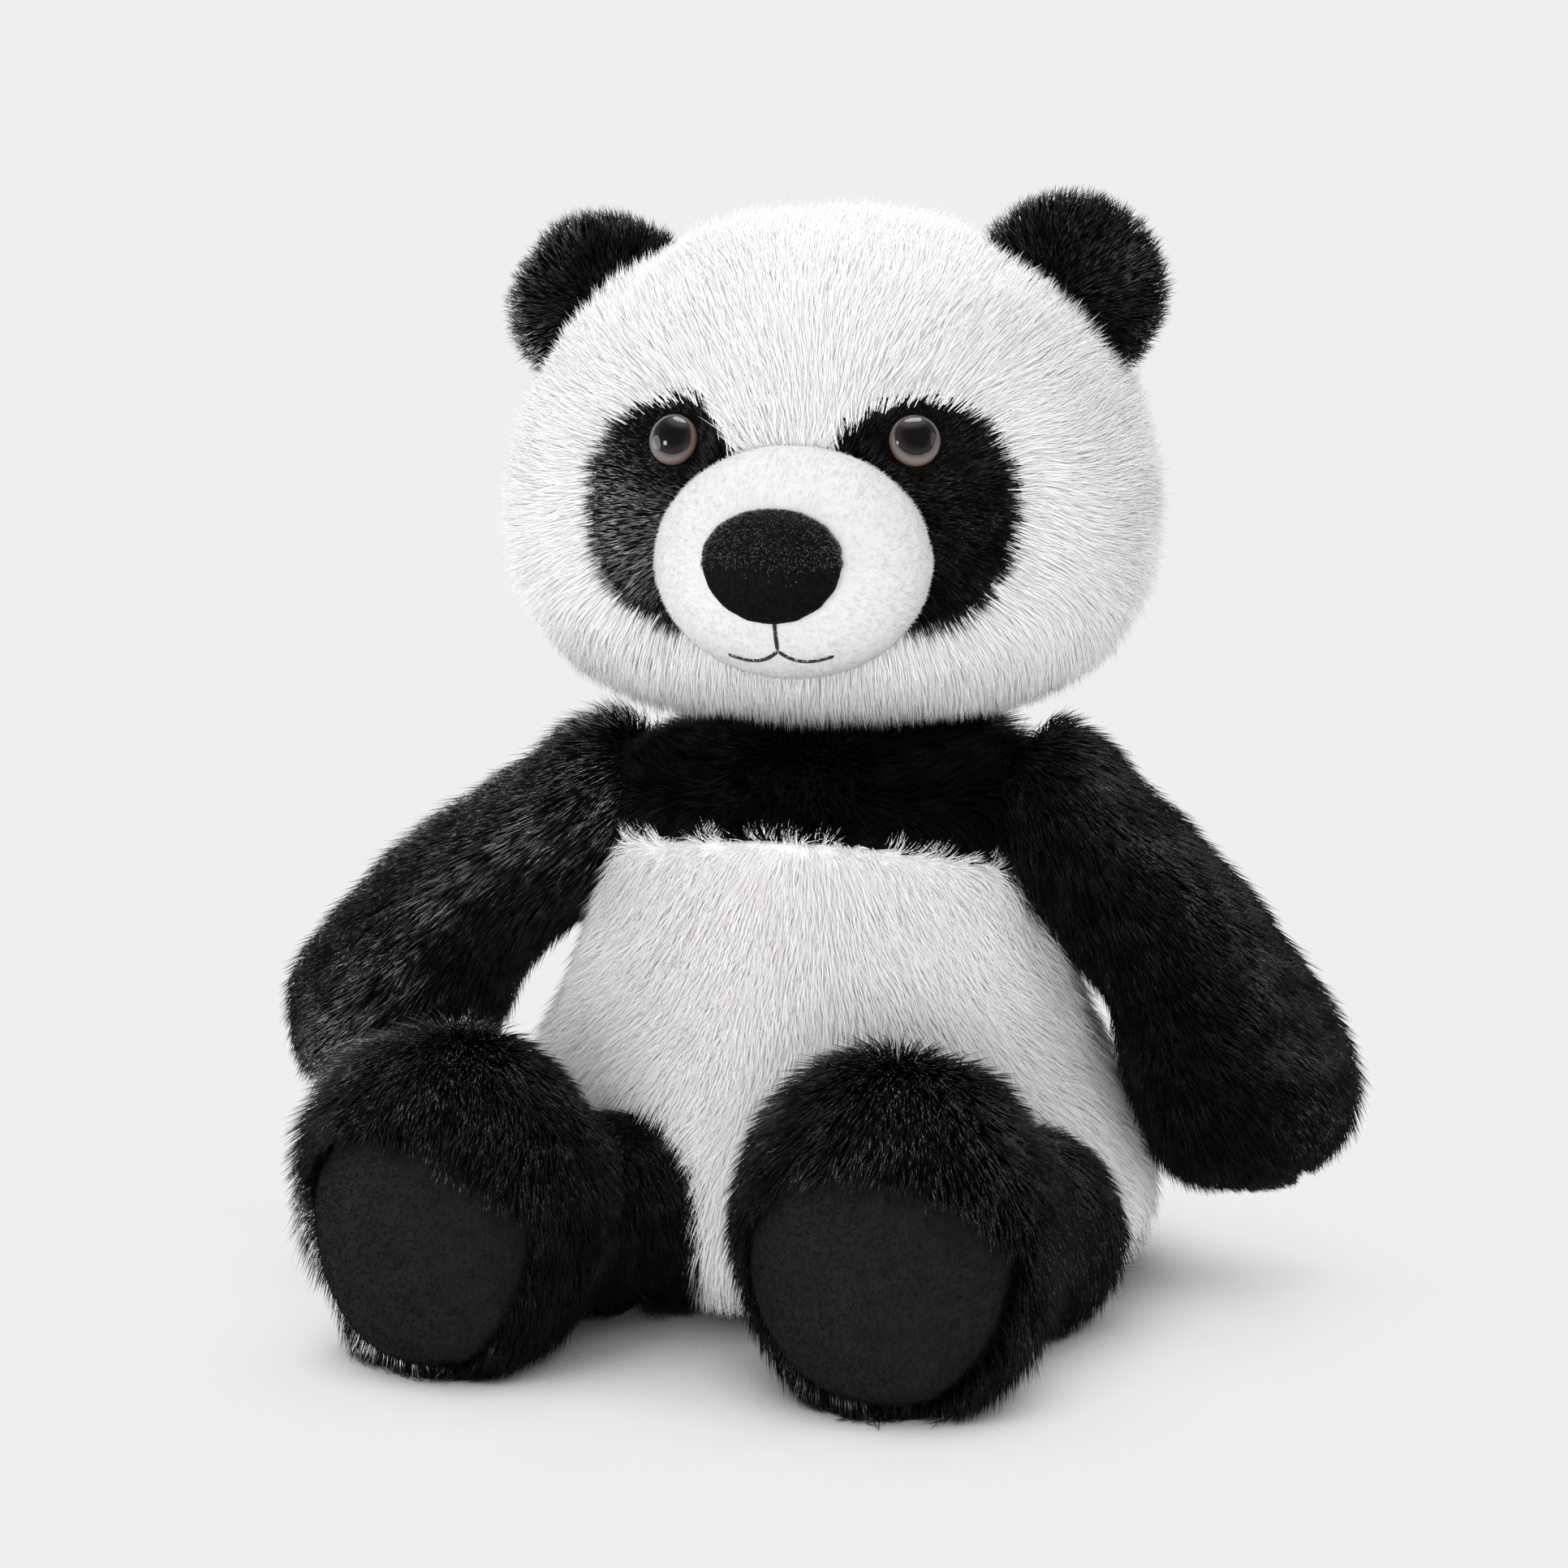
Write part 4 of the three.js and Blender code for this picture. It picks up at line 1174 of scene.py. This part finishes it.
THREAD = 0.62 * MM
MOUTH_TOP, FORK, END = 215.5 * MM, 206.8 * MM, 205.0 * MM
SMILE, DIP = 15.5 * MM, 2.6 * MM


def mouth_lines():
    """The stem under the nose and the two halves of the smile."""
    lines = [[on_muzzle(0, MOUTH_TOP + (FORK - MOUTH_TOP) * t) for t in np.linspace(0, 1, 12)]]
    for reach in (-SMILE, SMILE):
        lines.append([on_muzzle(reach * t, FORK + (END - FORK) * t - DIP * math.sin(math.pi * t ** 0.8))
                      for t in np.linspace(0, 1, 24)])
    return lines


mouth = bmesh.new()
for line in mouth_lines():
    mouth.from_mesh(tube("stitch", line, THREAD))
mouth_mesh = bpy.data.meshes.new("mouth_stitch")
mouth.to_mesh(mouth_mesh)
mouth.free()
settle(link("mouth_stitch", mouth_mesh), "head", "black_thread", black_thread, "mouth_thread")


# ---- what is inside: filling, bag, collar and threads ----
NECK_PILE = (10.0, 0.9, 35, 0.5)
BAG_CELL, STUFFING_CELL = 3 * MM, 3.5 * MM
for body in ("neck", "shoulder_left", "shoulder_right", "hip_left", "hip_right"):
    node = f"{body}_filling"
    stub = settle(softened(node, f"{node}_soft"), body, "fibre_filling", black_cloth, node)
    if body == "neck":
        stub_fur(stub, body, comb_neck, NECK_PILE, "neck_fur", "black_plush", BLACK_FUR)
bag = softened("pellet_bag", "pellet_bag_soft", BAG_CELL)
settle(bag, "torso", "bag_cloth", bag_cloth, "pellet_bag")

for form in ("body", "head", "muzzle", "arm_left", "leg_left", "arm_right", "leg_right"):
    node = f"{form}_stuffing"
    stuffing = softened(node, f"{node}_soft", STUFFING_CELL)
    settle(stuffing, body_of_node(node), "fibre_filling", fibre, node)

FINISH = {"neck_seam_thread": black_thread, "closing_seam_thread": white_thread,
          "nose_washer": washer_plastic}
for side in SIDES:
    FINISH[f"eye_{side}_backing"] = eye_plastic
    FINISH[f"eye_{side}_washer"] = washer_plastic
for node, material in FINISH.items():
    obj = frame["nodes"][node]
    obj.data.materials.clear()
    obj.data.materials.append(material)


# ---- studio: an even white room, softboxes, and a floor that glows except near the toy ----
BACKDROP = 0.863  # what the camera sees round the toy
ROOM_LIGHT = 0.7
ROOM_GLOSS, CEILING = (0.06, 1.3), (0.75, 0.98)  # reflections see a dark room with a bright ceiling
FLOOR_LIGHT, FLOOR_GLOSS = 1.3, 0.12
# reach and greys of the painted contact shadow on the glowing floor
CONTACT_REACH = 0.1
CONTACT_SHADE = ((0.0, 0.01), (0.25, 0.2), (0.45, 0.62), (0.62, 0.9), (0.85, 1.0))


def float_mix(owner, factor, low, high):
    """A blend of two numbers, each a value or a socket."""
    mix = add_node(owner, "ShaderNodeMix", data_type="FLOAT")
    wire(owner, factor, mix.inputs["Factor"])
    for name, value in (("A", low), ("B", high)):
        if isinstance(value, (int, float)):
            mix.inputs[name].default_value = value
        else:
            wire(owner, value, mix.inputs[name])
    return mix.outputs["Result"]


def seen_as(owner, light, gloss):
    """How bright the room or floor is: the backdrop to the camera, gloss to a reflection, else light."""
    path = add_node(owner, "ShaderNodeLightPath")
    unseen = float_mix(owner, path.outputs["Is Glossy Ray"], light, gloss)
    return float_mix(owner, path.outputs["Is Camera Ray"], unseen, BACKDROP)


def studio_world():
    world = bpy.data.worlds.new("studio")
    world.use_nodes = True
    world.node_tree.nodes.clear()
    direction = add_node(world, "ShaderNodeTexCoord")
    height = add_node(world, "ShaderNodeSeparateXYZ")
    wire(world, direction.outputs["Generated"], height.inputs["Vector"])
    ceiling = map_range(world, height.outputs["Z"], CEILING, ROOM_GLOSS, interpolation_type="SMOOTHSTEP")
    background = add_node(world, "ShaderNodeBackground", Color=(1, 1, 1, 1))
    wire(world, seen_as(world, ROOM_LIGHT, ceiling), background.inputs["Strength"])
    out = add_node(world, "ShaderNodeOutputWorld")
    wire(world, background.outputs["Background"], out.inputs["Surface"])
    return world


def studio_floor():
    """A disc that glows like the room, and darkens where the toy is near: a painted contact shadow."""
    mesh = bpy.data.meshes.new("studio_floor")
    bm = bmesh.new()
    bmesh.ops.create_circle(bm, cap_ends=True, segments=96, radius=1.6)
    bm.to_mesh(mesh)
    bm.free()
    material = bpy.data.materials.new("studio_floor")
    material.use_nodes = True
    material.node_tree.nodes.clear()
    nearness = add_node(material, "ShaderNodeAmbientOcclusion", Distance=CONTACT_REACH, samples=8)
    shade = ramp_of(material, nearness.outputs["AO"], [(at, (grey,) * 3) for at, grey in CONTACT_SHADE])
    glow = add_node(material, "ShaderNodeEmission")
    wire(material, shade, glow.inputs["Color"])
    wire(material, seen_as(material, FLOOR_LIGHT, FLOOR_GLOSS), glow.inputs["Strength"])
    final = add_node(material, "ShaderNodeOutputMaterial")
    wire(material, glow.outputs["Emission"], final.inputs["Surface"])
    mesh.materials.append(material)
    link("studio_floor", mesh)


AIM = Vector((0, 0, 0.15))


def area_light(name, where, size, watts, mirrored=True):
    """A round softbox aimed at the panda; one that isn't mirrored leaves no highlights."""
    light = bpy.data.lights.new(name, "AREA")
    light.shape = "DISK"
    light.size = size
    light.energy = watts
    obj = link(name, light)
    obj.location = where
    obj.rotation_euler = (AIM - Vector(where)).to_track_quat("-Z", "Y").to_euler()
    obj.visible_glossy = mirrored
    return obj


scene.world = studio_world()
studio_floor()
area_light("top", (0, 0.25, 1.6), 1.0, 15)
area_light("fill", (0.1, -1.6, 0.2), 1.0, 26, mirrored=False)
area_light("side_left", (-1.25, -0.3, 0.24), 0.9, 5)
area_light("side_right", (1.3, 0.0, 0.5), 0.9, 1.5)
catch = area_light("catch", (-0.75, -0.85, 0.36), 0.2, 1.6)
catch.data.shape = "SQUARE"
catch.visible_diffuse = False
# these two only draw the sheen of the black pile
for sheen in (area_light("sheen_left", (-1.3, -0.1, 0.32), 0.7, 30),
              area_light("sheen_right", (1.25, -0.35, 0.3), 0.6, 8)):
    sheen.visible_diffuse = False
    sheen.light_linking.receiver_collection = sheen_receivers

scene.view_settings.view_transform = "Standard"
scene.cycles.diffuse_bounces = 6
scene.cycles.max_bounces = 12

VIEW_TARGET = Vector((-12.7, -2.7, 154)) * MM
VIEW_AZIMUTH, VIEW_ELEVATION = math.radians(12), math.radians(8)
VIEW_DISTANCE = 976.7 * MM
back = Vector((math.sin(VIEW_AZIMUTH) * math.cos(VIEW_ELEVATION),
               -math.cos(VIEW_AZIMUTH) * math.cos(VIEW_ELEVATION), math.sin(VIEW_ELEVATION)))
lens = bpy.data.cameras.new("camera")
lens.lens = 70
camera = link("camera", lens)
camera.location = VIEW_TARGET + back * VIEW_DISTANCE
camera.rotation_euler = (-back).to_track_quat("-Z", "Y").to_euler()
scene.camera = camera

for cover in covers.values():
    bpy.data.objects.remove(cover)
